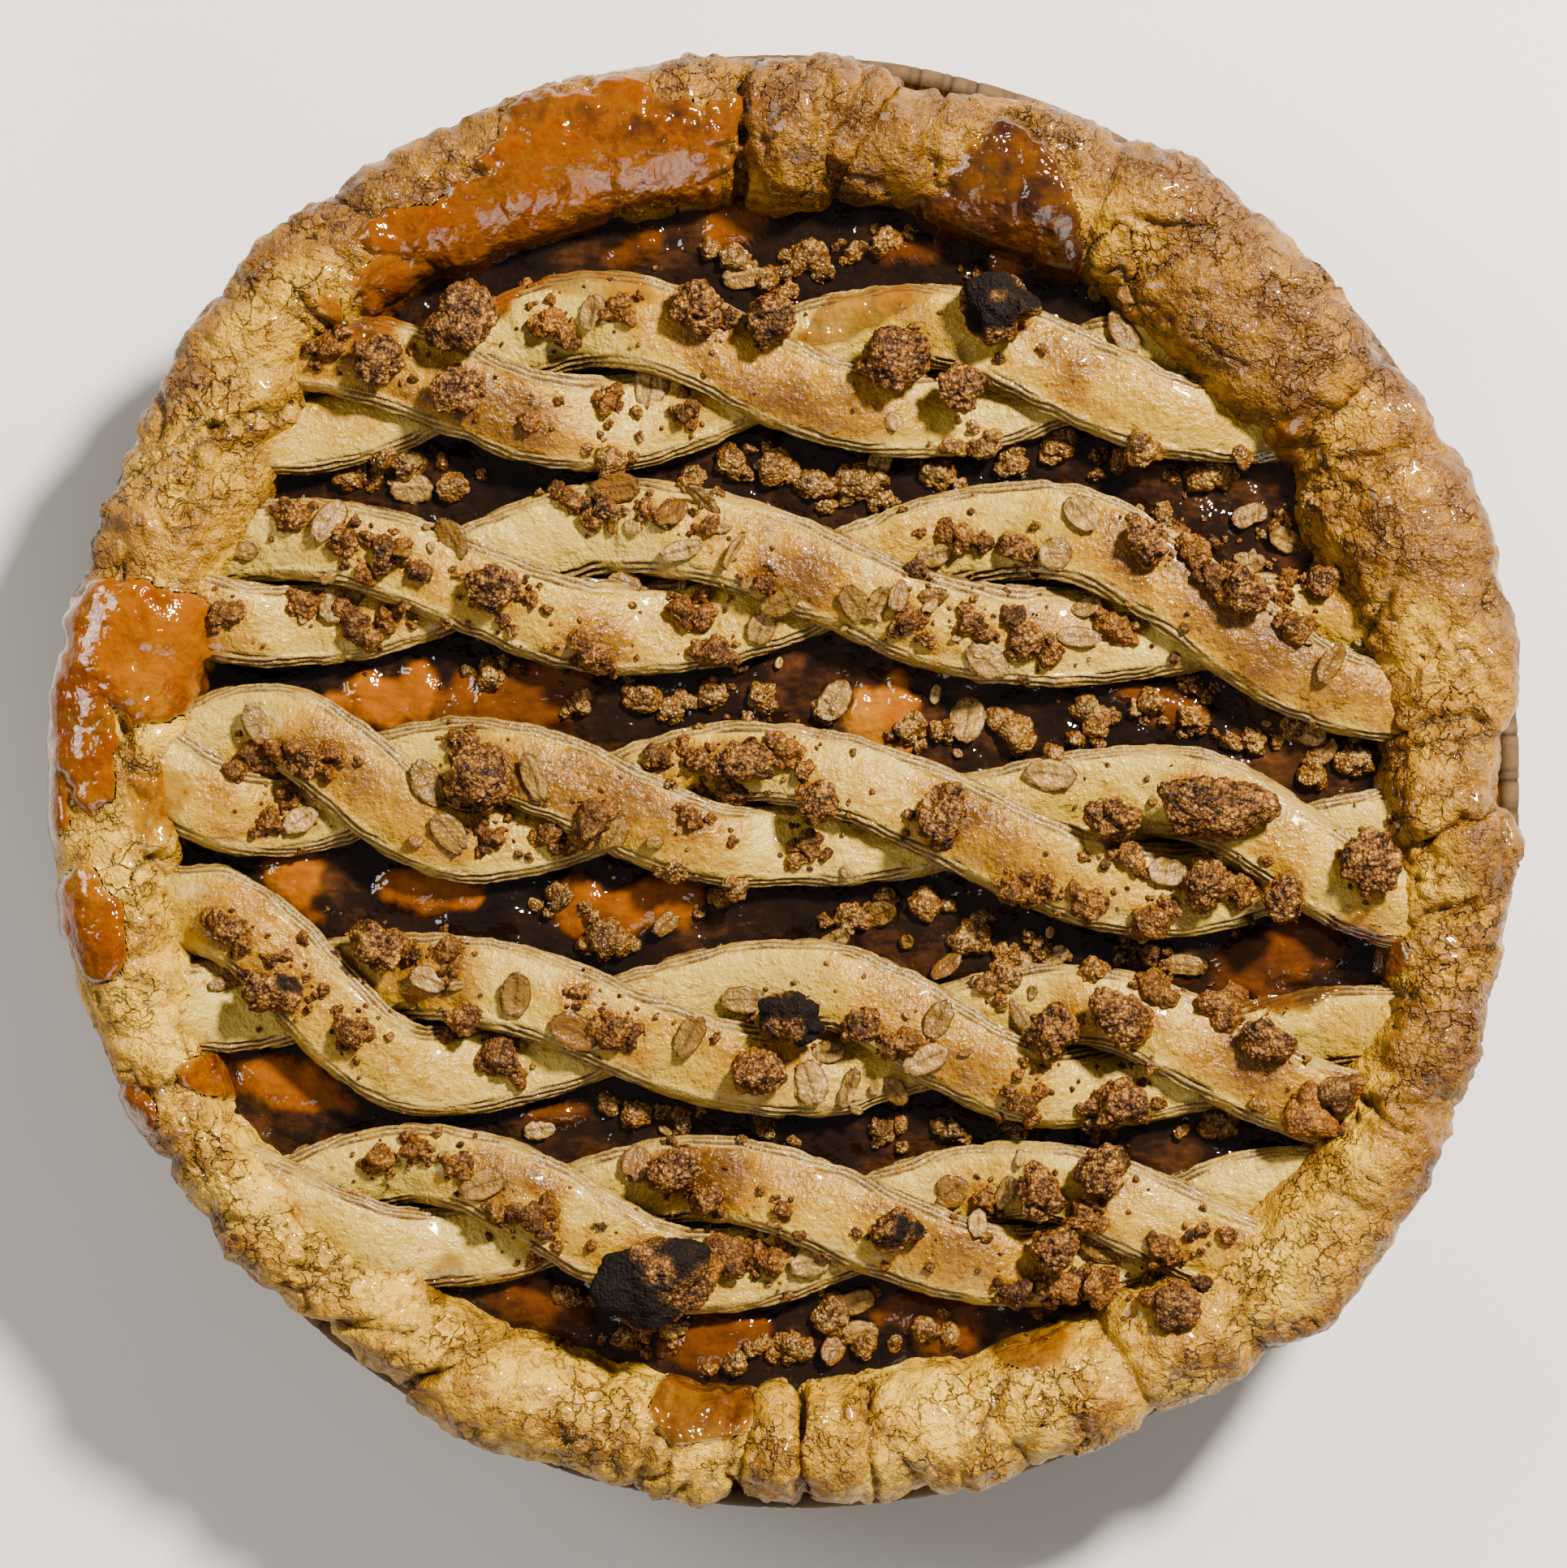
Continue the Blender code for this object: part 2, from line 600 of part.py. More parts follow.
def footing(x, y, radius):
    """The highest surface under a large lump."""
    spots = [(x, y), *rim_of_circle(x, y, radius * 0.5), *rim_of_circle(x, y, radius)]
    return max(max(strip_top(px, py)[1], FILLING_LEVEL) for px, py in spots)


def far_from_lumps(x, y, radius):
    for lump_x, lump_y, length, width, _, _ in LARGE_CRUMBLE:
        if math.hypot(x - lump_x, y - lump_y) < radius + max(length, width) * 0.62 + 0.5:
            return False
    return True


def sprinkles(collection, draw):
    """Small crumble and oats on an uneven grid over the whole pie, by what they are fused to."""
    pieces = {}
    placed = []
    reach = int(SPRINKLE_SPREAD / SPRINKLE_SPACING)
    places = range(-reach, reach + 1)
    for column, line in itertools.product(places, places):
        x = SPRINKLE_SPACING * (column + draw.uniform(-SPRINKLE_JITTER, SPRINKLE_JITTER))
        y = SPRINKLE_SPACING * (line + draw.uniform(-SPRINKLE_JITTER, SPRINKLE_JITTER))
        turn = draw.uniform(0.0, 180.0)
        is_oat = draw.random() < OAT_SHARE
        if is_oat:
            length = draw.uniform(*OAT_LENGTHS)
            size = (length, length * draw.uniform(*OAT_WIDTHS), OAT_THICKNESS)
            rise = -OAT_DEPTH
        else:
            length = draw.uniform(*CRUMB_LENGTHS)
            size = (length, length * draw.uniform(*CRUMB_WIDTHS), length * CRUMB_HEIGHT)
            rise = length * CRUMB_RISE
        radius = length * SPRINKLE_REACH
        key, height = seat(x, y, radius)
        touching = any(math.hypot(x - px, y - py) < radius + near for px, py, near in placed)
        if key is None or touching or not far_from_lumps(x, y, radius):
            continue
        placed.append((x, y, radius))
        made = lump("sprinkle", collection, None, Vector((x, y, height + rise)), size, turn, 1, draw)
        pieces.setdefault(key, []).append(made)
    return pieces


def peach_slices(collection, draw):
    slices = []
    for x, y, length, width, turn in PEACH_SLICES:
        place = Vector((x, y, FILLING_LEVEL - SLICE_DEPTH))
        size = (length, width, SLICE_THICKNESS)
        made = lump("slice", collection, None, place, size, turn, 2, draw, in_filling=True)
        slices.append(made)
    return slices


def syrup_runs(collection, draw):
    """Set syrup on the crimped edge, as flat lumps half sunk in the crust."""
    runs = []
    for degrees, across, size_across, size_along in SYRUP_RUNS:
        angle = math.radians(degrees)
        inner = inner_radius(angle)
        radius = lerp(122.5, inner, across)
        height = lerp(42.0, 49.5, smooth(min(across, 1 - across) * 3.2))
        size = (size_across, size_along, 4.5)
        made = lump("syrup", collection, None, turned(radius, angle, height), size, degrees, 1, draw)
        runs.append(made)
    return runs


def large_crumble(collection, material, draw):
    for number, (x, y, length, width, height, turn) in enumerate(LARGE_CRUMBLE, 1):
        base = footing(x, y, max(length, width) * 0.5) + GAP
        place = Vector((x, y, base + height * 0.36))
        size = (length, width, height * 1.25)
        name = f"crumble_{number:02d}"
        lump(name, collection, material, place, size, turn, 2, draw, flat_at=base)


def main():
    clear_scene()
    pie = new_collection("peach_pie")
    draw = random.Random(SEED)
    pastry = new_material("crimped_pastry", PASTRY)
    strip_pastry = new_material("strip_pastry", STRIP)
    filling = new_material("peach_filling", FILLING)
    crumble = new_material("crumble", CRUMBLE)
    paperboard = new_material("paperboard", PAPERBOARD)

    paper_pan(pie, paperboard)
    shell = pastry_shell(pie, pastry)
    fuse(shell, syrup_runs(pie, draw))
    pieces = sprinkles(pie, draw)
    peach_filling(pie, filling, peach_slices(pie, draw) + pieces.pop("filling", []))
    for row in range(len(ROWS)):
        for strand in (0, 1):
            strip = strip_blank(row, strand, pie, strip_pastry)
            fuse(strip, pieces.get((row, strand), []))
    large_crumble(pie, crumble, draw)


main()
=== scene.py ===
"""Dresses the peach pie: kraft paper pan, crimped crust, twisted strips, syrup, crumble and oats.

Sizes are in millimetres and degrees unless a name says otherwise. +Z is up, +Y is the top of the
pie as seen from above, and the strips run along X.
"""

import itertools
import math
import random

import bpy
import bmesh
import numpy as np
from bpy.props import FloatProperty, FloatVectorProperty, PointerProperty
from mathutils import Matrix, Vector
from mathutils.bvhtree import BVHTree


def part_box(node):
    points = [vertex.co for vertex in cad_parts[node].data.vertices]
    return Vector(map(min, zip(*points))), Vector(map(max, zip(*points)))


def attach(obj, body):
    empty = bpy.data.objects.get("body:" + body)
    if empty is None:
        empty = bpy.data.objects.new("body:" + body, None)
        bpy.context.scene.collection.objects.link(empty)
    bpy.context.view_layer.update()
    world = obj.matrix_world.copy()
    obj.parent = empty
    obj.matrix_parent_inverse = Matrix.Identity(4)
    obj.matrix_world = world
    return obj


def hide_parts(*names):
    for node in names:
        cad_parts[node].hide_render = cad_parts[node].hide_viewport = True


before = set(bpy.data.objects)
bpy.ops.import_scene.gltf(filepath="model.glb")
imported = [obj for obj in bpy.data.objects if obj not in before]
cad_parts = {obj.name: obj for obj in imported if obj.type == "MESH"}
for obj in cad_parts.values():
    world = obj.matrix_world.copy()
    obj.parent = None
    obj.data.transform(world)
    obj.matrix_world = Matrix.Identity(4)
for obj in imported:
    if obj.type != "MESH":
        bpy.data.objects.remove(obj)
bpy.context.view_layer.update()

bl_info = {
    "name": "Peach Pie",
    "version": (1, 0, 0),
    "blender": (4, 5, 0),
    "location": "3D View > Sidebar > Pie",
    "description": "Dresses a peach pie with its pan, crust, strips, syrup, crumble and oats",
    "category": "Object",
}

MM = 0.001
SEED = 5

# Paper pan, as in the solids
PAN_FLOOR_RADIUS = 91.0
PAN_RIM_RADIUS = 119.6
PAN_HEIGHT = 38.0
PAPER = 1.0
RIM_ROLL = 1.7
PAN_BULGES = ((138.0, 36.0, 3.5), (36.0, 15.0, 1.5))
PLEATS = 116
PLEAT_DEPTH = 0.55
RIM_PLEATING = 0.45
PAN_COLUMNS = 1392
PAN_INNER_ROWS = 6

# Pastry shell
CRUST_UNDERSIDE = PAN_HEIGHT + 0.9
FILLING_LEVEL = 37.4
SHELL_FLOOR = 6.35
CRUST_COLUMNS = 1150
CRUST_SPANS = (4, 8, 14, 15, 13, 9, 4)
CREASE_OUTSIDE = 0.55
CREASE_INSIDE = 0.35
CREASE_CREST = 0.5
CRUST_CLEARANCE = 0.35
CRUST_MIDDLE_RADIUS = 110.0
HOTTEST_SIDE = 58.0
SYRUP_DEPTH = 1.15

# Twisted strips
STRIP_THICKNESS = 3.0
STRIP_WIDTH = 15.0
STRIP_TURN_WIDTH = 13.2
STRIP_LEVEL = 43.1
STRIP_LIFT = 2.3
STRIP_ROLL = 10.0
STRIP_PASSING_GAP = 1.0
STRIP_PITCH = 0.8
STRIP_SHOULDER = 0.72
STRIP_TOP_ROWS = 20
STRIP_UNDER_ROWS = 6
STRIP_SIDE_ROWS = 15
STRIP_LAYERS = 2.6
STRIP_TUCK = 5.0

# Filling
FILLING_RINGS = 96
FILLING_COLUMNS = 640
FILLING_FOOT = SHELL_FLOOR + 0.4
FILLING_FOOT_RADIUS = 84.0
FILLING_HIGHEST = 1.9

# Crumble and oats. The shares are of the widths in the tables below.
LUMP_DETAIL = 5
CRUMB_SHARE = 0.85
LOOSE_CRUMBS = 1000
LOOSE_REACH = 103.0
OAT_LENGTH_SHARE = 0.92
OAT_WIDTH_SHARE = 0.88
OAT_LAYER = 0.34
BROKEN_OATS = 70
BROKEN_OAT_REACH = 96.0

# The photograph's frame: its width on the pie, and its middle
VIEW_WIDTH = 256.6
VIEW_MIDDLE = (-1.8, -0.1)
CAMERA_HEIGHT = 1150.0
VIEWED_HEIGHT = 45.0
SENSOR = 36.0

# Studio: each light's name, place in metres, width, watts and colour
LIGHTS = (
    ("key", (0.52, 0.58, 0.9), 0.15, 33.0, (1.0, 0.96, 0.9)),
    ("fill", (-0.9, 0.3, 0.8), 0.5, 5.0, (1.0, 0.98, 0.96)),
    ("back", (0.1, -1.0, 0.8), 0.8, 4.0, (1.0, 0.98, 0.95)),
)
FLOOR_WIDTH = 4.0
ROOM_COLOUR = (1.0, 0.98, 0.96, 1.0)
ROOM_LIGHT = 0.17

# Colours that no setting changes, as linear red, green and blue
# Painted shade in the pan's pleat creases.
PAPER_PLEAT_SHADE = (0.022, 0.012, 0.006)
STAINED_PAPER = (0.34, 0.12, 0.025)
SYRUP_SHADES = ((0.035, 0.012, 0.006), (0.11, 0.034, 0.008), (0.20, 0.064, 0.009))
SYRUP_AMBER = (0.27, 0.085, 0.009)
STRIP_LIGHTEST = (0.50, 0.35, 0.080)
# Colours of the strips' layered sides, from pale layers to painted shade in the grooves between them.
LAYER_TONE_AND_GROOVE_SHADE = ((0.42, 0.28, 0.075), (0.27, 0.165, 0.045), (0.14, 0.078, 0.024), (0.05, 0.027, 0.01))
CRUST_LIGHTEST = (0.66, 0.40, 0.065)
# Painted shade in the crust's long cracks, wrinkles, creases and the seams between its plates.
CRACK_SHADE = (0.085, 0.036, 0.009)
# Painted shade in the thin cracks between the crust's flakes, coarse and fine.
FLAKE_CRACK_SHADE = (0.11, 0.046, 0.010)
FINE_CRACK_SHADE = (0.13, 0.055, 0.012)
FRECKLE = (0.30, 0.125, 0.018)
FILLING_SHADES = ((0.022, 0.010, 0.005), (0.085, 0.033, 0.011), (0.24, 0.09, 0.02))
PEACH_SHADES = ((0.06, 0.02, 0.007), (0.17, 0.055, 0.010), (0.48, 0.22, 0.04))
CRUMBLE_BRIGHT = (0.29, 0.135, 0.036)
CRUMBLE_TOP = (0.54, 0.32, 0.09)
CRUMBLE_ORANGE = (0.31, 0.115, 0.015)
CRUMBLE_CHAR = (0.007, 0.004, 0.003)
SOAKED_SHADES = ((0.030, 0.012, 0.005), (0.17, 0.080, 0.022), (0.34, 0.215, 0.072))
OAT_TOASTED = (0.18, 0.070, 0.012)
# Painted shade in the oat's groove and along its rim.
OAT_GROOVE_AND_RIM_SHADE = (0.085, 0.035, 0.008)
FLOOR_SHADES = ((0.70, 0.67, 0.63), (0.76, 0.73, 0.69))

# Each fold of the crimped edge: the crease that it starts from at the outer and inner side, that
# crease's depth, and the fold's outer radius, inner radius and crest.
FOLDS = (
    (-174.0, -173.4, 2.0, 122.0, 102.5, 50.5),
    (-165.7, -165.3, 2.0, 122.0, 103.0, 50.0),
    (-160.0, -158.0, 2.5, 121.3, 104.5, 50.0),
    (-154.7, -154.0, 3.5, 121.0, 106.5, 49.0),
    (-149.0, -146.0, 2.5, 121.0, 104.0, 50.5),
    (-143.7, -138.5, 3.0, 120.8, 103.5, 50.5),
    (-136.0, -130.5, 3.0, 120.0, 101.5, 50.0),
    (-131.6, -124.5, 3.5, 118.6, 101.0, 50.0),
    (-123.6, -117.0, 4.0, 120.2, 99.5, 51.0),
    (-110.0, -107.0, 3.0, 118.0, 99.0, 50.5),
    (-103.0, -101.5, 3.5, 119.6, 100.5, 49.5),
    (-95.0, -93.0, 4.5, 116.8, 98.8, 50.5),
    (-88.0, -90.0, 4.5, 117.6, 98.5, 51.0),
    (-79.0, -84.0, 3.0, 119.3, 97.5, 51.0),
    (-70.6, -74.0, 4.0, 119.6, 99.0, 50.5),
    (-60.0, -60.5, 4.0, 121.4, 98.5, 50.5),
    (-50.0, -52.0, 3.5, 124.3, 102.5, 51.0),
    (-36.0, -37.5, 3.0, 122.3, 103.0, 51.5),
    (-26.0, -29.5, 3.0, 120.7, 102.0, 50.5),
    (-16.5, -18.5, 2.5, 119.8, 100.8, 50.0),
    (-8.0, -13.0, 3.0, 119.5, 98.5, 50.0),
    (-1.5, -6.5, 4.0, 115.8, 96.0, 50.5),
    (4.0, 3.2, 3.5, 120.3, 96.5, 51.0),
    (16.8, 19.9, 2.0, 121.2, 94.0, 51.5),
    (27.5, 30.5, 3.0, 120.1, 97.5, 50.5),
    (35.8, 33.5, 5.0, 121.5, 92.5, 53.0),
    (50.5, 56.5, 3.5, 120.4, 95.5, 51.5),
    (62.7, 61.5, 4.0, 118.4, 94.0, 50.5),
    (76.5, 77.3, 2.5, 115.6, 97.0, 50.5),
    (81.0, 86.5, 5.0, 119.5, 94.0, 52.5),
    (93.0, 95.2, 5.0, 119.6, 96.5, 50.5),
    (105.7, 107.0, 2.5, 121.2, 98.5, 50.0),
    (117.8, 116.6, 3.0, 122.4, 100.0, 50.0),
    (128.5, 124.5, 4.0, 124.3, 103.0, 51.0),
    (139.9, 135.7, 3.0, 124.2, 105.5, 51.0),
    (146.0, 139.6, 2.5, 122.5, 100.5, 50.5),
    (152.6, 147.5, 2.5, 121.6, 98.5, 50.5),
    (163.5, 159.4, 2.5, 121.7, 98.0, 50.5),
    (174.0, 172.0, 2.5, 121.8, 101.0, 50.5),
)

# Each row of twisted strips: where the two strips stand furthest apart, as x, the row's middle line
# and the swing of each strip from it.
ROWS = (
    ((-85.0, 64.2, 6.9), (-32.5, 67.6, 9.9), (20.0, 67.8, 7.6), (71.0, 66.0, 6.9)),
    ((-84.0, 33.0, 7.3), (-28.0, 33.8, 9.5), (40.0, 32.8, 10.3), (100.0, 20.0, 6.9)),
    ((-87.0, 2.2, 7.8), (-53.0, -2.7, 6.9), (-8.0, -3.4, 7.0), (61.0, -9.5, 9.4), (105.0, -14.0, 6.9)),
    ((-98.0, -28.7, 9.0), (-60.0, -39.5, 8.4), (1.0, -40.1, 8.1), (45.0, -43.2, 6.9), (95.0, -46.6, 6.9)),
    ((-61.0, -69.3, 6.9), (-15.0, -72.4, 8.0), (38.0, -72.2, 6.9), (85.0, -72.8, 6.9)),
)

# Peach slices in the syrup: x, y, length, width, turn, how orange they are.
PEACH_SLICES = (
    (-68.0, 14.0, 16.0, 12.0, 20.0, 0.9), (-45.0, 13.0, 27.0, 13.0, 10.0, 0.35),
    (14.0, 11.0, 15.0, 13.0, -20.0, 1.0), (-83.0, -16.0, 14.0, 11.0, -30.0, 1.0),
    (-60.0, -17.0, 20.0, 8.0, -5.0, 0.85), (-27.0, -20.0, 32.0, 10.0, 8.0, 0.6),
    (-83.0, -50.0, 20.0, 9.0, -12.0, 0.8), (-40.0, -88.0, 22.0, 9.0, -25.0, 0.2),
    (22.0, -89.0, 20.0, 9.0, -10.0, 0.25), (-14.0, -91.0, 18.0, 9.0, 15.0, 0.35),
    (-28.0, 87.0, 14.0, 5.0, 25.0, 0.1), (20.0, 88.0, 16.0, 6.0, 5.0, 0.15),
    (-40.0, -54.5, 14.0, 4.5, 5.0, 0.2), (60.0, 12.0, 16.0, 7.0, -20.0, 0.15),
    (-10.0, 93.0, 13.0, 8.0, 30.0, 0.55), (36.0, 89.0, 15.0, 8.0, 60.0, 0.6),
    (80.0, -27.0, 26.0, 12.0, 15.0, 0.15), (-30.0, 58.0, 16.0, 5.0, 0.0, 0.3),
)

# Syrup that lies over the crust and strips: x, y, length, width, turn, how thick it is, and how
# orange it is.
SYRUP_POOLS = (
    (-48.0, 92.0, 58.0, 22.0, 32.0, 0.9, 0.55), (-27.0, 103.0, 42.0, 20.0, 2.0, 0.9, 0.5),
    (-66.0, 80.0, 20.0, 13.0, 60.0, 0.7, 0.5),
    (32.0, 94.0, 22.0, 26.0, -15.0, 0.9, 0.12), (42.0, 92.0, 8.0, 27.0, 12.0, 1.2, 0.1),
    (80.0, 54.0, 16.0, 8.0, 70.0, 0.4, 0.3),
    (82.0, -30.0, 36.0, 15.0, 8.0, 0.9, 0.25),
    (-108.0, 22.0, 24.0, 22.0, 0.0, 1.5, 1.0), (-117.0, 10.0, 13.0, 30.0, 0.0, 1.2, 0.8),
    (-121.5, 0.0, 9.0, 24.0, 0.0, 0.9, 0.5),
    (-115.0, -21.0, 12.0, 22.0, 10.0, 1.0, 0.85), (-109.0, -53.0, 10.0, 9.0, 20.0, 1.0, 0.8),
    (-94.0, -48.0, 14.0, 8.0, -10.0, 0.8, 0.75),
    (-14.0, -102.0, 17.0, 13.0, 0.0, 0.6, 0.3), (39.0, -92.0, 13.0, 8.0, 20.0, 0.5, 0.35),
    (-58.0, -82.0, 10.0, 6.0, 60.0, 0.4, 0.4),
    (10.0, 77.0, 26.0, 7.0, 18.0, 0.5, 0.4), (-32.0, 82.0, 26.0, 6.0, -8.0, 0.4, 0.35),
    (16.0, -73.0, 15.0, 9.0, -25.0, 0.1, 0.5), (-104.0, -3.0, 9.0, 12.0, 0.0, 0.3, 0.7),
)

# Long cracks in the crust: the two ends as x, y, and how deep.
CRUST_CRACKS = (
    (-104.5, 57.0, -104.5, 64.0, 1.0), (-80.0, 79.0, -75.0, 74.0, 0.9), (-99.0, 44.0, -96.0, 58.0, 1.2),
    (-96.0, 58.0, -88.0, 59.0, 1.2), (-88.0, 59.0, -82.0, 62.0, 1.0), (-110.0, 10.0, -107.0, -2.0, 1.2),
    (-107.0, -2.0, -104.0, -12.0, 1.4), (-104.0, -12.0, -99.0, -20.0, 1.0),
    (-80.0, -80.0, -60.0, -78.0, 1.2),
    (-80.0, -88.0, -62.0, -89.0, 0.9), (-66.0, -100.0, -47.0, -90.0, 1.2), (91.0, -51.0, 100.0, -56.0, 1.2),
    (96.0, -33.0, 104.0, -36.0, 1.2), (99.0, -23.0, 110.0, -19.0, 1.3), (103.0, -10.0, 110.0, -6.0, 1.6),
    (98.0, 8.0, 113.0, 10.0, 1.3), (94.0, 24.0, 99.0, 34.0, 1.0), (88.0, 52.0, 100.0, 54.0, 0.8),
    (54.0, 92.0, 66.0, 90.0, 1.2), (-9.0, 116.0, -9.0, 97.0, 1.6), (11.0, 117.0, 4.5, 96.0, 1.6),
    (24.0, 114.0, 21.0, 99.0, 1.2), (-10.5, -99.0, -10.0, -117.0, 1.2), (0.5, -98.0, 1.0, -117.0, 1.4),
    (11.5, -99.0, 13.0, -117.0, 1.2), (-84.0, -56.0, -73.0, -68.0, 1.5), (-73.0, -68.0, -70.0, -75.0, 1.5),
    (-70.0, -75.0, -57.0, -80.0, 1.4), (-112.0, -30.0, -104.0, -34.0, 0.9), (70.0, -88.0, 76.0, -80.0, 1.0),
    (30.0, -110.0, 34.0, -98.0, 1.0), (-30.0, -112.0, -27.0, -100.0, 1.0), (-58.0, 104.0, -52.0, 98.0, 0.8),
)

# Round swellings of the crust: x, y, length, width, turn and height.
CRUST_SWELLS = (
    (13.5, 105.0, 22.0, 14.0, 100.0, 1.5), (-1.5, 106.0, 26.0, 11.0, 105.0, 1.5),
    (-5.0, -108.0, 20.0, 9.5, 92.0, 1.1), (5.8, -108.0, 20.0, 9.5, 88.0, 1.2),
    (-77.0, -60.0, 20.0, 8.0, -48.0, 1.3), (-64.0, -76.0, 15.0, 7.0, -20.0, 1.2),
    (76.0, 74.0, 40.0, 24.0, -45.0, 0.9), (-103.0, 3.0, 30.0, 9.0, 100.0, 1.0),
    (104.0, -43.0, 16.0, 13.0, 60.0, 1.0), (107.0, -4.0, 20.0, 14.0, 90.0, 0.7),
)

# Small crumble: x, y, width.
SMALL_CRUMBLE = (
    (-76, 71, 6), (-40, 75, 7), (-28, 77, 6), (-11, 76, 4), (-31, 62, 5), (-19, 60.5, 5),
    (-43, 59, 4.5), (-82, 43.5, 6), (-73, 39, 6), (-67, 37, 7), (-61, 34.5, 4.5), (-43, 30, 3),
    (-47.5, 26.5, 3), (-37, 47, 5), (-31, 45, 6), (-23, 44, 5), (-14, 42, 4), (-12.5, 21.5, 7),
    (-18, 28, 7), (-32.5, 20.8, 7), (-4.5, 32.5, 4), (20, 35, 4), (27.5, 40, 6.5), (36, 39, 5.5),
    (66, 38, 7), (69, 33, 6), (79, 30, 4), (81, 34, 4), (82, 25, 6), (87, 33, 6), (19, 27, 5),
    (29, 26, 5.5), (22, 23.5, 3.5), (35.5, 27, 4.5), (38, 23.5, 6), (42, 20.5, 4.5), (53.5, 25, 7),
    (-80, 29, 5), (-72, 26, 7), (-67, 27, 5), (-93, 27.5, 5), (-87.5, 4, 8), (-79, 3.5, 7),
    (-83, -2, 4.5), (-86, -6, 5), (-55, 6.5, 5), (-49, -9, 5), (-41, -8.5, 6), (-33, -6.5, 7),
    (-22, 4, 5), (-15.5, 4, 5), (-1, 4.5, 7), (-11, -1.5, 6), (-17, -5.5, 4), (2.5, -10, 5.5),
    (54.5, -11.5, 6), (36.5, -17.5, 6), (41, -16.5, 4), (48, -19.5, 5.5), (58.5, -22.5, 7),
    (73, -17.5, 5.5), (-62.5, -28, 3.5), (-56.5, -27.5, 4), (-54.5, -39, 6), (-47.5, -45, 7.5),
    (-93, -24, 7), (-72, -40, 6), (-77, -33.5, 2.5), (-83, -28, 2.5), (-29, -40, 7.5),
    (-35, -34, 3.5), (11, -40, 6), (18, -42, 5.5), (58, -28, 6.5), (59, -33, 6), (58, -46.5, 3),
    (37.5, -52.5, 5.5), (69, -37, 8), (-68, -61.5, 6), (-62, -60, 5), (-56, -62, 5), (-49.5, -70, 5.5),
    (-43, -71, 6.5), (-42.5, -77.5, 3), (-11, -77, 8), (-14, -68, 6), (-2, -70, 3.5), (-4, -78, 6),
    (31, -68, 5), (47, -71, 6), (61, -76, 6), (66.5, -73, 3), (71, -74, 4), (50, -83, 7),
    (44, -83, 6), (37, -83, 7), (41, -87, 4), (62.5, -84, 9), (84, -54, 11), (51.5, -52.5, 8),
)

# Crumble that sank in the syrup: x, y, width.
SOAKED_CRUMBLE = (
    (-73, 50, 7), (-64, 53, 9), (-57, 49, 8), (-10, 53, 8), (-3, 52, 8), (3.5, 50, 8), (9.5, 49.5, 9),
    (15, 47, 5), (-17, 50, 7), (43, 54.5, 9), (56, 54, 8), (67, 52, 10), (84, 47, 5), (30, 55, 7),
    (-25, 14.5, 8), (-14, 14.5, 7), (-6, 14, 6), (-19, 12, 6), (21, 9.5, 7), (36, 9.5, 10),
    (49, 10.5, 9), (66.5, 16.5, 5.5), (66, 10.5, 5.5), (76, 6.5, 7), (91, 3, 10), (82, 9, 6),
    (-38, -19, 6), (-31, -26, 9), (31, -25.5, 9), (20, -19.5, 9), (33, -32, 8), (9, -22, 7),
    (-27, -54, 8), (-5, -56, 6), (15, -57, 6), (69, -56, 9), (2.5, 87, 8), (9.5, 87.5, 4.5),
    (-4, 83, 8), (-10, 86, 7), (16, 89, 6), (-28, -92, 6), (-9, -94.5, 7), (7, -88, 8), (12, -92, 7),
    (60, 44, 6), (-50, 18, 6), (-20, -14, 5), (80, 42, 6), (5, -87, 7), (24, 8, 6), (57, -54, 6),
    (-30, 52, 7), (24, 52, 8), (36, 53, 7), (-35, 13, 6), (5, 12, 6), (58, 13, 6), (-12, -18, 7),
    (41, -27, 6), (49, -31, 6), (26, -57, 6), (38, -57, 7), (49, -56, 6), (-18, -56, 6), (22, -90, 7),
    (-20, -90, 6), (-36, -85, 6), (0, -92, 7),
)

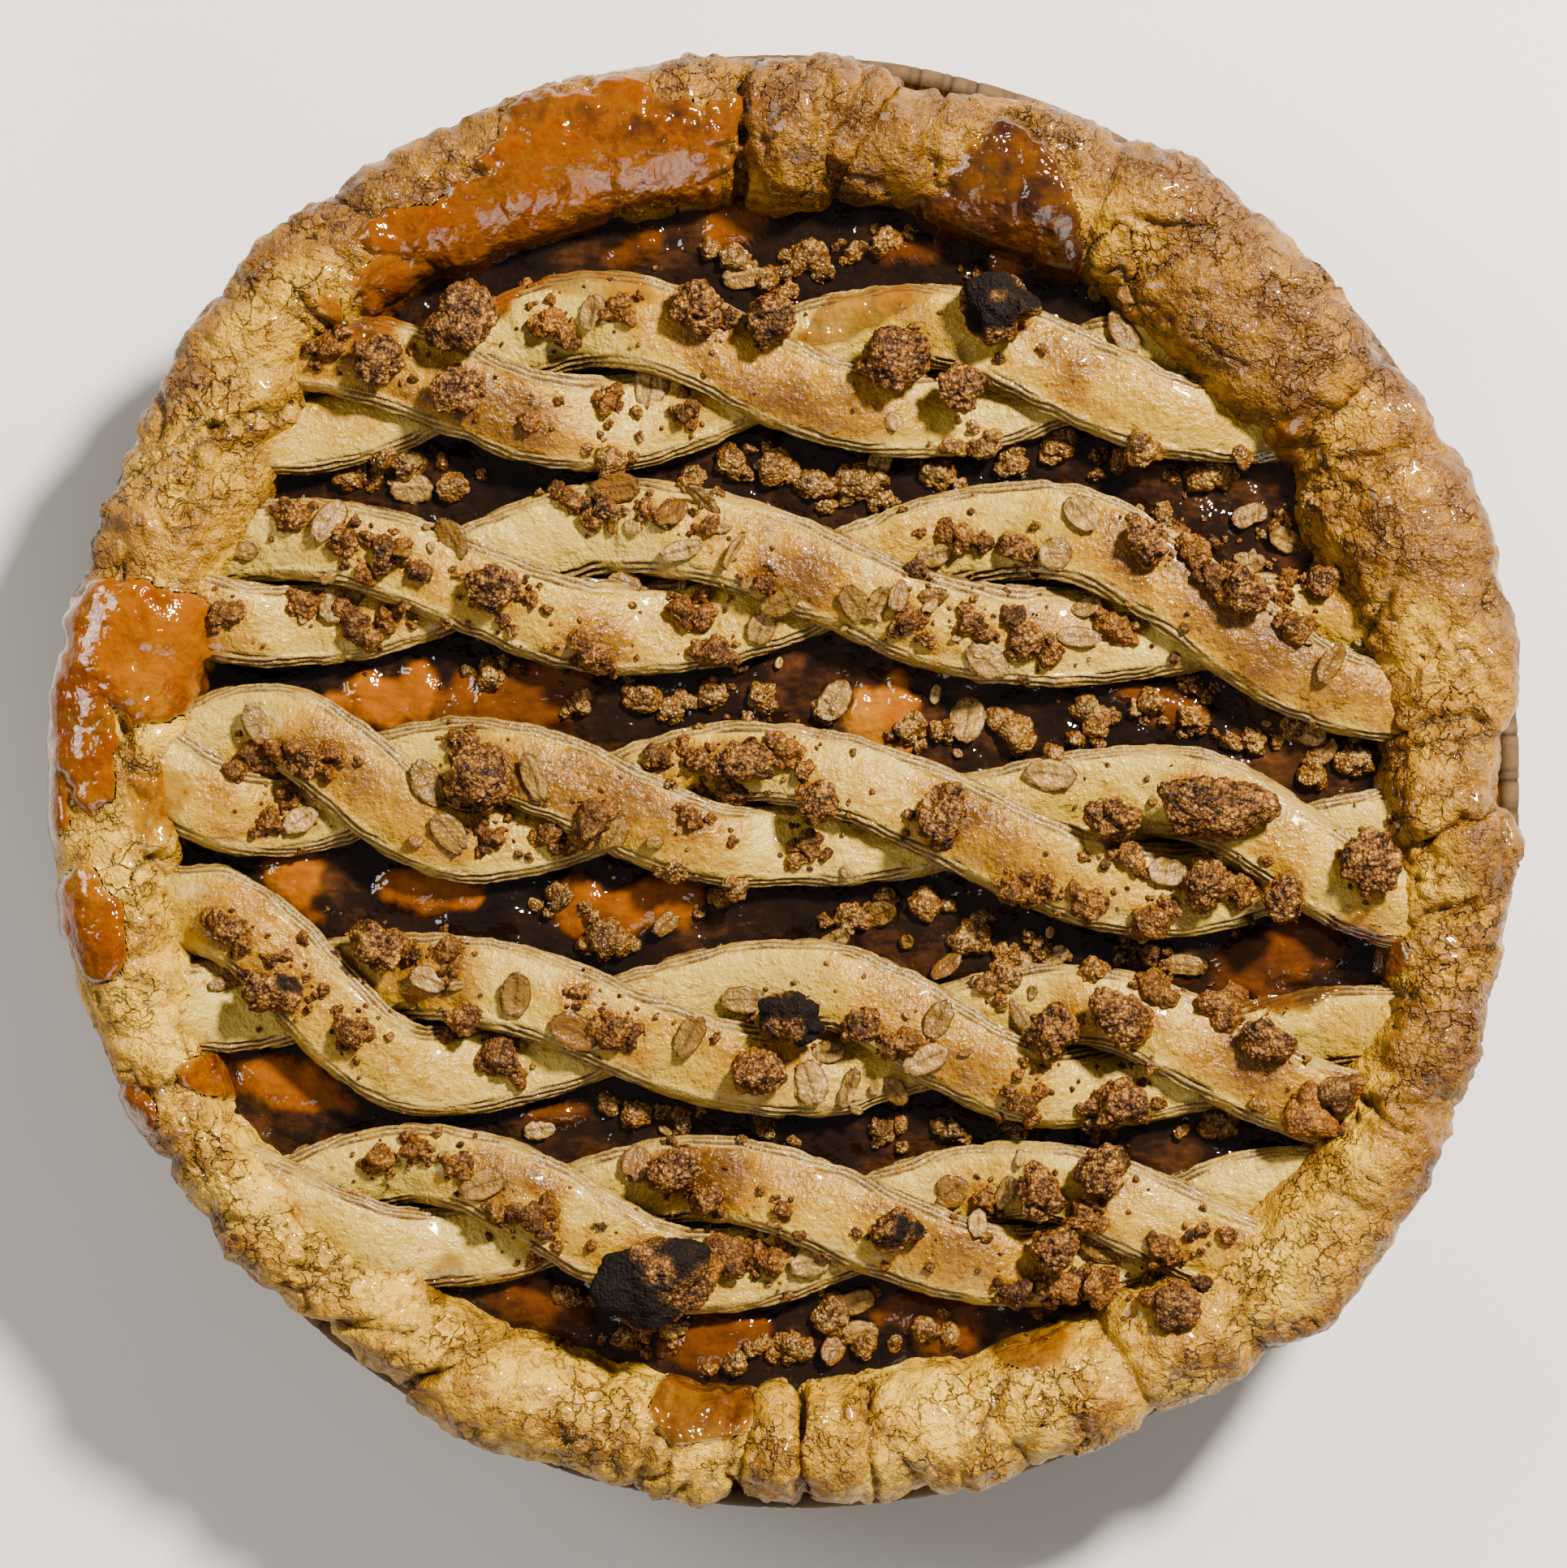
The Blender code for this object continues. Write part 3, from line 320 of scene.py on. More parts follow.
# Rolled oats: x, y, length, width, turn, tilt.
OATS = (
    (-33, 77, 7, 5, 70, 10), (-23.5, 65.5, 9.5, 6.5, 80, 5), (54, 74, 9, 5.5, -65, 10),
    (-76, 43, 9, 5.5, 55, 20), (-64, 38, 8, 4, 80, 60), (-56, 40, 8.5, 6, -60, 15),
    (-63, 48.5, 8, 6, 0, 10), (-29, 48.5, 9.5, 6, 5, 15), (-20, 44, 7, 5, 30, 20),
    (-15, 46.5, 9, 4, -55, 60), (-18.5, 38, 8, 4, 15, 10), (-10, 38, 8, 3.5, 60, 50),
    (-28, 33, 6.5, 5, -20, 5), (-24, 34, 6, 5, 40, 5), (-2.5, 29.5, 8, 5.5, 25, 10),
    (-5.5, 25.5, 6.5, 5.5, 70, 10), (10, 29, 8.5, 5.5, -60, 20), (13.5, 29.5, 7, 4, 70, 30),
    (17, 30.5, 6.5, 4, 75, 25), (23, 37.5, 6.5, 5, 20, 5), (47, 44, 8, 6, -45, 10),
    (42.5, 37.5, 6, 6.5, 0, 8), (75, 36, 6, 4, 20, 10), (22.5, 30.5, 6, 3.5, 10, 20),
    (31.5, 19.8, 9, 6.5, -40, 5), (46.5, 24, 8.5, 4, -5, 10), (48, 29, 6, 4, 15, 20),
    (87.5, 19.5, 8, 4.5, 60, 20), (-74.5, 30, 9.5, 8, 50, 5), (-88, 9.5, 8, 5, -60, 25),
    (-81, -6, 7, 5, 30, 10), (-60, 0, 9, 6, -60, 10), (-42.5, 1, 9.5, 5, -72, 20),
    (-56.5, -8, 8.5, 6, -50, 5), (-29.5, -8.5, 7, 5, 60, 20), (28.5, 10.5, 9, 7, 80, 12),
    (42, 1.5, 9.5, 6, -8, 5), (6.5, 13.5, 8.5, 6, 60, 15), (61, -14.5, 8, 6, -5, 8),
    (-60, -32, 7, 5, -20, 10), (-63, -35.5, 8, 3, 85, 60), (-45.5, -34.5, 8.5, 6, 85, 20),
    (-93.5, -32.5, 6.5, 3, 20, 10), (-36, -40.5, 9.5, 7, -30, 5), (-17, -41, 9, 5.5, 60, 15),
    (-8.5, -35.5, 8, 5.5, 0, 10), (2.5, -49, 8.5, 7, -75, 10), (5.5, -44, 7, 4.5, 10, 20),
    (9, -50, 8, 4, 70, 30), (21.5, -45, 9, 5.5, 25, 10), (23.5, -38.5, 7.5, 5, 60, 10),
    (37, -38, 8, 3, -60, 30), (41, -29, 10, 6, 25, 10), (64, -30, 9, 4.5, -5, 10),
    (69.5, -36.5, 8, 6, 10, 10), (-51, -65.5, 8.5, 6, 20, 5), (-26, -62.5, 7.5, 6, 80, 15),
    (25.5, -67, 7, 6.5, 40, 5), (34.5, -67, 6.5, 4, 70, 30), (51, -76, 9, 6, -8, 8),
    (2.5, -78.5, 8, 6, 10, 10), (6.5, -26, 8, 4, 30, 20), (-8, 83.5, 8.5, 5, 10, 10),
    (14, 53, 7.5, 5, 70, 20), (75, 44, 7, 5, 20, 15), (81, 40, 7.5, 5, -30, 20),
    (84.5, 8.5, 8, 5, -30, 20), (87, 5, 7, 4, 40, 20), (14, -21.5, 8, 5, 30, 30),
    (10, -85.5, 8, 5, 20, 20), (10.5, -90.5, 7.5, 5, 10, 15), (6.5, -93, 7, 5, 60, 20),
    (-90, 38, 5, 4, 10, 10), (55, 80, 5, 4, 0, 10), (-21, -23, 6, 4, 40, 10), (25, -30, 7, 4, 40, 30),
    (16.5, -50.5, 6, 4.5, -50, 25), (-42, -57, 6, 4, 10, 10), (30, -72, 6, 4, 80, 40),
)

# How burnt a large lump of crumble is, by its node's name.
BURNT = {
    "crumble_01": 1.0, "crumble_29": 0.85, "crumble_23": 0.8, "crumble_22": 0.6, "crumble_09": 0.55,
    "crumble_15": 0.4, "crumble_08": 0.35, "crumble_30": 0.75, "crumble_16": 0.25, "crumble_02": 0.25,
}


def lerp(a, b, t):
    """The value a share t of the way from a to b."""
    return a + (b - a) * t


def smooth(t):
    """Eased 0 to 1, for one number or an array."""
    t = np.clip(t, 0.0, 1.0)
    return t * t * (3 - 2 * t)


def mixed_bits(cell, seed):
    """A number from 0 to 1 for each whole-numbered cell, the same each time."""
    bits = cell[:, 0] * 73856093 ^ cell[:, 1] * 19349663 ^ cell[:, 2] * 83492791 ^ (seed * 374761393)
    bits = bits & 0xFFFFFFFF
    bits = ((bits ^ (bits >> 15)) * 2246822519) & 0xFFFFFFFF
    bits = ((bits ^ (bits >> 13)) * 3266489917) & 0xFFFFFFFF
    return ((bits ^ (bits >> 16)) & 0xFFFFFF) / 0xFFFFFF


def mottle(points, size, seed=0):
    """Soft random value from -1 to 1 at each point, with features about size millimetres across."""
    scaled = points / size
    cell = np.floor(scaled).astype(np.int64)
    inside = scaled - cell
    fade = inside * inside * inside * (inside * (inside * 6 - 15) + 10)
    total = np.zeros(len(points))
    for corner in itertools.product((0, 1), repeat=3):
        weight = np.ones(len(points))
        for axis, far in enumerate(corner):
            weight *= fade[:, axis] if far else 1 - fade[:, axis]
        total += weight * mixed_bits(cell + np.array(corner), seed)
    return total * 2 - 1


def grains(points, size, seed=0):
    """Distance from each point to the middle of the nearest grain, in grain sizes."""
    scaled = points / size
    cell = np.floor(scaled).astype(np.int64)
    nearest = np.full(len(points), 9.0)
    for offset in itertools.product((-1, 0, 1), repeat=3):
        at = cell + np.array(offset)
        middle = at + np.stack([mixed_bits(at, seed + k) for k in (1, 2, 3)], axis=1)
        nearest = np.minimum(nearest, np.linalg.norm(scaled - middle, axis=1))
    return nearest


def turned(radius, angle, z):
    """Points at a radius, an angle in radians and a height."""
    return np.stack([radius * np.cos(angle), radius * np.sin(angle), z + 0.0 * angle], axis=-1)


def grid_faces(rows, columns, closed_rows=False, closed_columns=True):
    """Four-cornered faces between the rows and columns of a grid of points."""
    row = np.arange(rows if closed_rows else rows - 1)[:, None]
    column = np.arange(columns if closed_columns else columns - 1)[None, :]
    next_row = (row + 1) % rows
    next_column = (column + 1) % columns
    corners = (row * columns + column, row * columns + next_column)
    corners += (next_row * columns + next_column, next_row * columns + column)
    return np.stack([corner.ravel() for corner in corners], axis=1).tolist()


def fan(ring, centre, flip=False):
    """Triangles between a ring of point numbers and a middle point."""
    pairs = zip(ring, ring[1:] + ring[:1])
    return [(b, a, centre) if flip else (a, b, centre) for a, b in pairs]


def grid_normals(points):
    """Unit normals of a grid of points (rows, columns, 3) whose rows close on themselves."""
    along = np.gradient(points, axis=0)
    across = (np.roll(points, -1, axis=1) - np.roll(points, 1, axis=1)) / 2
    normal = np.cross(across, along)
    return normal / np.maximum(np.linalg.norm(normal, axis=2, keepdims=True), 1e-9)


def flowing(knots, spans):
    """Rows of a smooth surface through rows of knots, so many rows for each span."""
    padded = np.concatenate([knots[:1], knots, knots[-1:]])
    rows = []
    for span, count in enumerate(spans):
        a, b, c, d = padded[span:span + 4]
        for t in np.arange(count) / count:
            square = t * t
            row = 2 * b + (c - a) * t + (2 * a - 5 * b + 4 * c - d) * square
            rows.append(0.5 * (row + (3 * b - a - 3 * c + d) * square * t))
    rows.append(knots[-1])
    return np.array(rows)


def make_piece(name, points, faces, material, replaced=(), masks=None):
    """A new piece from points in millimetres. masks holds up to four values for each point, which
    the material reads as red, green, blue and alpha."""
    mesh = bpy.data.meshes.new(name)
    mesh.from_pydata((np.asarray(points) * MM).tolist(), [], faces)
    mesh.validate()
    shell = bmesh.new()
    shell.from_mesh(mesh)
    bmesh.ops.recalc_face_normals(shell, faces=shell.faces)
    shell.to_mesh(mesh)
    shell.free()
    mesh.shade_smooth()
    mesh.materials.append(material)
    if masks is not None:
        layer = mesh.attributes.new("masks", "FLOAT_COLOR", "POINT")
        values = np.ones((len(points), 4))
        values[:, :masks.shape[1]] = np.clip(masks, 0.0, 1.0)
        layer.data.foreach_set("color", values.ravel())
    made = bpy.data.objects.new(name, mesh)
    bpy.context.scene.collection.objects.link(made)
    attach(made, "root")
    if replaced:
        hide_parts(*replaced)
    return made


class Finish:
    """A new material and the nodes of its shader."""

    def __init__(self, name, roughness, specular):
        self.material = bpy.data.materials.new(name)
        self.material.use_nodes = True
        self.tree = self.material.node_tree
        self.shader = self.tree.nodes["Principled BSDF"]
        self.shader.inputs["Roughness"].default_value = roughness
        self.shader.inputs["Specular IOR Level"].default_value = specular
        self.shader.inputs["Coat Roughness"].default_value = 0.04
        self.place = self.tree.nodes.new("ShaderNodeTexCoord").outputs["Object"]
        self.bump = None

    def link(self, source, target):
        self.tree.links.new(source, target)

    def mask(self, channel):
        """One channel of the piece's masks: Red, Green, Blue or Alpha."""
        read = self.tree.nodes.new("ShaderNodeAttribute")
        read.attribute_name = "masks"
        if channel == "Alpha":
            return read.outputs["Alpha"]
        split = self.tree.nodes.new("ShaderNodeSeparateColor")
        self.link(read.outputs["Color"], split.inputs["Color"])
        return split.outputs[channel]

    def noise(self, size, detail=3.0, stretch=None, roughness=0.55):
        """Noise with features about size millimetres across."""
        made = self.tree.nodes.new("ShaderNodeTexNoise")
        made.inputs["Scale"].default_value = 1.0 / (size * MM)
        made.inputs["Detail"].default_value = detail
        made.inputs["Roughness"].default_value = roughness
        place = self.place
        if stretch:
            mapping = self.tree.nodes.new("ShaderNodeMapping")
            mapping.inputs["Scale"].default_value = stretch
            self.link(place, mapping.inputs["Vector"])
            place = mapping.outputs["Vector"]
        self.link(place, made.inputs["Vector"])
        return made.outputs["Fac"]

    def cells(self, size, place=None, feature="F1"):
        """Cells about size millimetres across: the texture's node."""
        made = self.tree.nodes.new("ShaderNodeTexVoronoi")
        made.feature = feature
        made.inputs["Scale"].default_value = 1.0 / (size * MM)
        self.link(place or self.place, made.inputs["Vector"])
        return made

    def grit(self, size, place=None):
        """A different value from 0 to 1 for each grain about size millimetres across."""
        split = self.tree.nodes.new("ShaderNodeSeparateColor")
        self.link(self.cells(size, place).outputs["Color"], split.inputs["Color"])
        return split.outputs["Red"]

    def bent(self, size, reach):
        """The place of each point, moved about by up to this many millimetres."""
        made = self.tree.nodes.new("ShaderNodeTexNoise")
        made.inputs["Scale"].default_value = 1.0 / (size * MM)
        self.link(self.place, made.inputs["Vector"])
        moved = self.tree.nodes.new("ShaderNodeVectorMath")
        moved.operation = "MULTIPLY_ADD"
        self.link(made.outputs["Color"], moved.inputs[0])
        moved.inputs[1].default_value = (reach * MM, reach * MM, reach * MM)
        self.link(self.place, moved.inputs[2])
        return moved.outputs["Vector"]

    def sum(self, *parts):
        """The sum of sockets, each with a weight, and of at most one plain number, which comes last."""
        total = None
        for part in parts:
            step = self.tree.nodes.new("ShaderNodeMath")
            if isinstance(part, tuple):
                step.operation = "MULTIPLY_ADD"
                self.link(part[0], step.inputs[0])
                step.inputs[1].default_value = part[1]
                if total:
                    self.link(total, step.inputs[2])
                else:
                    step.inputs[2].default_value = 0.0
            else:
                step.operation = "ADD"
                self.link(total, step.inputs[0])
                step.inputs[1].default_value = part
            total = step.outputs[0]
        return total

    def ramp(self, value, *stops):
        """Colours by value, each stop a place from 0 to 1 and a colour."""
        made = self.tree.nodes.new("ShaderNodeValToRGB")
        elements = made.color_ramp.elements
        while len(elements) < len(stops):
            elements.new(0.5)
        for element, (place, colour) in zip(elements, stops):
            element.position = place
            element.color = (*colour[:3], 1.0)
        self.link(value, made.inputs["Fac"])
        return made.outputs["Color"]

    def blend(self, share, first, second):
        """A colour between two others, by a socket that holds the second's share."""
        made = self.tree.nodes.new("ShaderNodeMix")
        made.data_type = "RGBA"
        made.clamp_factor = True
        for value, socket in ((share, 0), (first, 6), (second, 7)):
            if isinstance(value, bpy.types.NodeSocket):
                self.link(value, made.inputs[socket])
            else:
                made.inputs[socket].default_value = (*value[:3], 1.0)
        return made.outputs[2]

    def between(self, value, low, high, to_low=0.0, to_high=1.0):
        """The value's range from low to high, spread over another range."""
        made = self.tree.nodes.new("ShaderNodeMapRange")
        self.link(value, made.inputs["Value"])
        ends = {"From Min": low, "From Max": high, "To Min": to_low, "To Max": to_high}
        for name, number in ends.items():
            made.inputs[name].default_value = number
        return made.outputs["Result"]

    def product(self, first, second):
        """Two sockets multiplied."""
        made = self.tree.nodes.new("ShaderNodeMath")
        made.operation = "MULTIPLY"
        self.link(first, made.inputs[0])
        self.link(second, made.inputs[1])
        return made.outputs[0]

    def mix(self, share, first, second):
        """A value between a socket and a plain number."""
        made = self.tree.nodes.new("ShaderNodeMix")
        made.clamp_factor = True
        self.link(share, made.inputs[0])
        self.link(first, made.inputs[2])
        made.inputs[3].default_value = second
        return made.outputs[0]

    def colour(self, socket):
        self.link(socket, self.shader.inputs["Base Color"])

    def rough(self, socket):
        self.link(socket, self.shader.inputs["Roughness"])

    def relief(self, height, depth, strength=1.0):
        """Adds bumps of this depth, in millimetres, to the surface."""
        made = self.tree.nodes.new("ShaderNodeBump")
        made.inputs["Distance"].default_value = depth * MM
        made.inputs["Strength"].default_value = strength
        self.link(height, made.inputs["Height"])
        if self.bump:
            self.link(self.bump, made.inputs["Normal"])
        self.bump = made.outputs["Normal"]
        self.link(self.bump, self.shader.inputs["Normal"])


def pan_bulge(angle):
    """How far the soft paper stands out of round at each angle."""
    out = 0.0 * angle
    for centre, width, height in PAN_BULGES:
        away = (np.degrees(angle) - centre + 180) % 360 - 180
        out = out + height * np.exp(-((away / width) ** 2))
    return out


def pan_wall_radius(z):
    """Radius of the middle of the paper wall at a height."""
    top = PAN_RIM_RADIUS - 2 * RIM_ROLL - 0.6
    return lerp(PAN_FLOOR_RADIUS, top, z / (PAN_HEIGHT - RIM_ROLL))


def pan_profile():
    """The paper's skin from the base's edge up to the rolled rim and down the inside: radius,
    height and how deep the pleats are there."""
    half = PAPER / 2
    roll_z = PAN_HEIGHT - RIM_ROLL
    roll_r = PAN_RIM_RADIUS - RIM_ROLL
    points = [(PAN_FLOOR_RADIUS - 3.0, 0.0, 0.0), (PAN_FLOOR_RADIUS - 1.0, 0.15, 0.3)]
    for z in (1.0, 3.0, 8.0, 14.0, 20.0, 26.0, 31.0, roll_z - 2.0):
        points.append((pan_wall_radius(z) + half, z, 1.0))
    for degrees in range(-115, 166, 20):
        turn = math.radians(degrees)
        radius = roll_r + RIM_ROLL * math.cos(turn)
        points.append((radius, roll_z + RIM_ROLL * math.sin(turn), RIM_PLEATING))
    for z in (roll_z - 1.5, 24.0, 12.0, 3.0):
        points.append((pan_wall_radius(z) - half, z, 0.9))
    points.append((PAN_FLOOR_RADIUS - 2.5, PAPER, 0.2))
    return np.array(points)


def fold_at(index, share, creased):
    """The crimped edge a share of the way through a fold: its outer and inner angle in radians,
    outer radius, inner radius, crest height and how near a crease is, from 0 to 1."""
    fold = FOLDS[index % len(FOLDS)]
    after = FOLDS[(index + 1) % len(FOLDS)]
    before = FOLDS[index - 1]
    turn = 360.0 if after[0] < fold[0] else 0.0
    outer_angle = lerp(fold[0], after[0] + turn, share)
    inner_angle = lerp(fold[1], after[1] + turn, share)
    swell = max(0.0, math.sin(math.pi * share)) ** 0.62
    start = share < 0.5
    depth = (fold[2] if start else after[2]) * creased
    depth *= min(1.0, max(0.3, (depth - 1.2) / 2.8))
    other = before if start else after
    pinch_out = (fold[3] + other[3]) / 2 - CREASE_OUTSIDE * depth
    pinch_in = (fold[4] + other[4]) / 2 + CREASE_INSIDE * depth
    pinch_crest = (fold[5] + other[5]) / 2 - CREASE_CREST * depth
    away = min(share, 1 - share) * (after[0] + turn - fold[0])
    return (
        math.radians(outer_angle),
        math.radians(inner_angle),
        lerp(pinch_out, fold[3], swell),
        lerp(pinch_in, fold[4], swell),
        lerp(pinch_crest, fold[5], swell),
        math.exp(-((away / 0.45) ** 2)) * min(1.0, depth / 2.5),
    )


def crust_columns(creased):
    """Every column of the crimped edge, as fold_at gives it, with its creases or without."""
    columns = []
    for index, fold in enumerate(FOLDS):
        span = (FOLDS[(index + 1) % len(FOLDS)][0] - fold[0]) % 360
        count = max(12, round(span * CRUST_COLUMNS / 360))
        columns += [fold_at(index, step / count, creased) for step in range(count)]
    return np.array(columns)


def crust_edge(columns):
    """Rows of the crimped edge's skin, from its outer foot over the crest to its inner foot."""
    outer_angle, inner_angle, outer, inner, crest, _ = columns.T
    under = CRUST_UNDERSIDE
    section = (
        (outer - 2.2, under + 0.2, 0.0), (outer, under + 2.6, 0.05),
        (outer - 1.4, lerp(under, crest, 0.7), 0.15), (lerp(outer, inner, 0.33), crest - 0.2, 0.4),
        (lerp(outer, inner, 0.68), crest - 1.2, 0.7), (inner + 1.6, lerp(FILLING_LEVEL, crest, 0.55), 0.95),
        (inner, FILLING_LEVEL + 1.5, 1.0), (inner - 2.0, FILLING_LEVEL - 3.0, 1.0),
    )
    knots = []
    for radius, z, across in section:
        knots.append(turned(radius, lerp(outer_angle, inner_angle, across), z))
    return flowing(np.array(knots), CRUST_SPANS)


def inner_limit(columns):
    """A function that gives the crimped edge's inner radius at any angle in radians."""
    angles = np.degrees(columns[:, 1]) % 360
    order = np.argsort(angles)
    known_angles = angles[order]
    known = columns[order, 3]

    def limit(angle):
        return np.interp(np.degrees(angle) % 360, known_angles, known, period=360)

    return limit


def pool_masks(x, y):
    """Syrup over the crust and strips at places in plan: how thick, from 0 to about 1.4, and how
    orange."""
    flat = np.stack([x, y, 0 * x], axis=1)
    edge = 0.3 * mottle(flat, 7.0, 31) + 0.12 * mottle(flat, 2.2, 32)
    thick = np.zeros(len(x))
    orange = np.zeros(len(x))
    for pool_x, pool_y, length, width, turn, depth, warmth in SYRUP_POOLS:
        angle = math.radians(turn)
        along = (x - pool_x) * math.cos(angle) + (y - pool_y) * math.sin(angle)
        across = (y - pool_y) * math.cos(angle) - (x - pool_x) * math.sin(angle)
        away = np.sqrt((along / (length / 2)) ** 2 + (across / (width / 2)) ** 2)
        cover = smooth((1.05 + edge - away) / 0.3)
        fuller = cover * depth > thick
        orange = np.where(fuller, warmth, orange)
        thick = np.maximum(thick, cover * depth)
    return thick, orange


def wrinkles(points, size, width, seed):
    """Thin winding lines, 1 on a line and 0 away from it."""
    return np.exp(-((mottle(points, size, seed) / width) ** 2))


def crust_shapes(points):
    """The crust's own swellings and long cracks: how far each point stands out, and how deep in a crack
    it is."""
    x = points[:, 0] + 1.5 * mottle(points, 5.5, 21) + 0.5 * mottle(points, 2.0, 23)
    y = points[:, 1] + 1.5 * mottle(points, 5.5, 22) + 0.5 * mottle(points, 2.0, 24)
    out = np.zeros(len(points))
    crack = np.zeros(len(points))
    for middle_x, middle_y, length, width, turn, height in CRUST_SWELLS:
        a = math.radians(turn)
        along = ((x - middle_x) * math.cos(a) + (y - middle_y) * math.sin(a)) / (length / 2)
        across = ((y - middle_y) * math.cos(a) - (x - middle_x) * math.sin(a)) / (width / 2)
        out = np.maximum(out, height * np.clip(1.15 - along**4 - across**4, 0.0, 1.0) ** 0.6)
    for start_x, start_y, end_x, end_y, depth in CRUST_CRACKS:
        step_x, step_y = end_x - start_x, end_y - start_y
        along = (x - start_x) * step_x + (y - start_y) * step_y
        share = np.clip(along / (step_x**2 + step_y**2), 0.0, 1.0)
        away = np.hypot(x - start_x - share * step_x, y - start_y - share * step_y)
        out -= depth * np.exp(-((away / 0.8) ** 2)) - 0.35 * depth * np.exp(-(((away - 1.9) / 0.9) ** 2))
        crack = np.maximum(crack, np.exp(-((away / 0.5) ** 2)) * min(1.0, depth))
    return out, crack


def pastry_relief(points, seed):
    """Blistered, flaky pastry skin: how far each point stands out, and how deep in a crack or between
    plates it is, which colours the crust with painted shade.
    """
    warp = np.stack([mottle(points, 6.0, seed + k) for k in (1, 2, 3)], axis=1)
    fine_warp = np.stack([mottle(points, 2.2, seed + k) for k in (10, 11, 12)], axis=1)
    winding = points + 2.4 * warp + 0.7 * fine_warp
    rough = smooth((mottle(points, 17.0, seed + 8) + 0.35) / 0.6)
    out = 0.95 * mottle(points, 11.0, seed) + 0.6 * mottle(points + 2.0 * warp, 4.8, seed + 4)
    plates = grains(winding * np.array([1.0, 1.0, 0.7]), 3.4, seed + 15)
    out += rough * 1.15 * (0.55 - plates)
    out += 0.34 * mottle(winding, 2.3, seed + 5) + 0.16 * mottle(points, 1.1, seed + 6)
    deep = wrinkles(winding, 8.5, 0.04, seed + 7) * smooth((mottle(points, 12.0, seed + 9) + 0.02) / 0.2)
    shape, crack = crust_shapes(points)
    # Painted shade along the seams between the plates, carried with the cracks.
    plate_seam_shade = 0.22 * rough * (plates > 0.74)
    return out + shape - 1.1 * deep, np.clip(np.maximum(0.8 * deep, crack) + plate_seam_shade, 0.0, 1.0)


def turn_state(turns, x):
    """The twist of a row at each x: its phase, middle, swing and how steeply the strips cross."""
    places = np.array(turns)
    index = np.clip(np.searchsorted(places[:, 0], x, side="right") - 1, 0, len(turns) - 2)
    here = places[index]
    after = places[index + 1]
    share = (x - here[:, 0]) / (after[:, 0] - here[:, 0])
    eased = smooth(share)
    swing = lerp(here[:, 2], after[:, 2], eased)
    slope = math.pi * swing / (after[:, 0] - here[:, 0])
    return math.pi * (index + share), lerp(here[:, 1], after[:, 1], eased), swing, slope


def strip_middle(turns, strand, x):
    """Middle of a strip at each x: y, z, roll as a slope, how far its edges lie from it on the -Y and
    the +Y side, and how high it lies, -1 to 1."""
    phase, middle, swing, slope = turn_state(turns, x)
    phase = phase + math.pi * strand
    side = np.cos(phase)
    lift = np.sin(phase)
    rise = 1.12 * lift / np.sqrt(lift * lift + 0.2)
    steepest = math.tan(math.radians(STRIP_ROLL)) * (1 - 1.2 * np.minimum(slope, 0.8) ** 2)
    roll = -steepest * np.sin(2 * phase)
    outer = lerp(STRIP_WIDTH, STRIP_TURN_WIDTH, side * side) / 2
    inner = lerp(STRIP_WIDTH, 2 * swing - STRIP_PASSING_GAP, side * side) / 2
    low = np.where(side > 0, inner, outer)
    high = np.where(side > 0, outer, inner)
    return middle + swing * side, STRIP_LEVEL + STRIP_LIFT * rise, roll, low, high, rise


def strip_points(turns, strand, x, across, height):
    """Points on a strip: across runs from -1 to 1 over its width, height is above its middle."""
    y, z, roll, low, high, rise = strip_middle(turns, strand, x)
    ahead = strip_middle(turns, strand, x + 0.5)[0]
    behind = strip_middle(turns, strand, x - 0.5)[0]
    length = np.hypot(ahead - behind, 1.0)
    side_x = (behind - ahead) / length
    side_y = 1.0 / length
    offset = across * np.where(across < 0, low, high)
    points = np.stack([x + side_x * offset, y + side_y * offset, z + roll * offset + height], axis=1)
    return points, rise


def strip_reach(turns, strand, across, side, limit):
    """The x at which this line along the strip meets the crimped edge."""
    near, far = 0.0, side * 118.0
    for _ in range(26):
        x = (near + far) / 2
        point = strip_points(turns, strand, np.array([x]), across, 0.0)[0][0]
        if math.hypot(point[0], point[1]) < limit(math.atan2(point[1], point[0])) + STRIP_TUCK:
            near = x
        else:
            far = x
    return near


def crumble_homes():
    """Where the large and small crumble lies: x, y, width."""
    homes = list(SMALL_CRUMBLE)
    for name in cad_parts:
        if name.startswith("crumble"):
            low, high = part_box(name)
            middle = ((low[0] + high[0]) / 2 / MM, (low[1] + high[1]) / 2 / MM)
            homes.append((*middle, (high[0] - low[0]) / MM))
    return homes


def crumble_stains(points):
    """How strongly the sugar of the crumble browned the pastry round it, from 0 to 1."""
    near = np.zeros(len(points))
    for x, y, width in crumble_homes():
        away = (points[:, 0] - x) ** 2 + (points[:, 1] - y) ** 2
        near = np.maximum(near, np.exp(-away / (0.72 * width) ** 2))
    return near * smooth(0.6 + 0.8 * mottle(points, 3.0, 61))


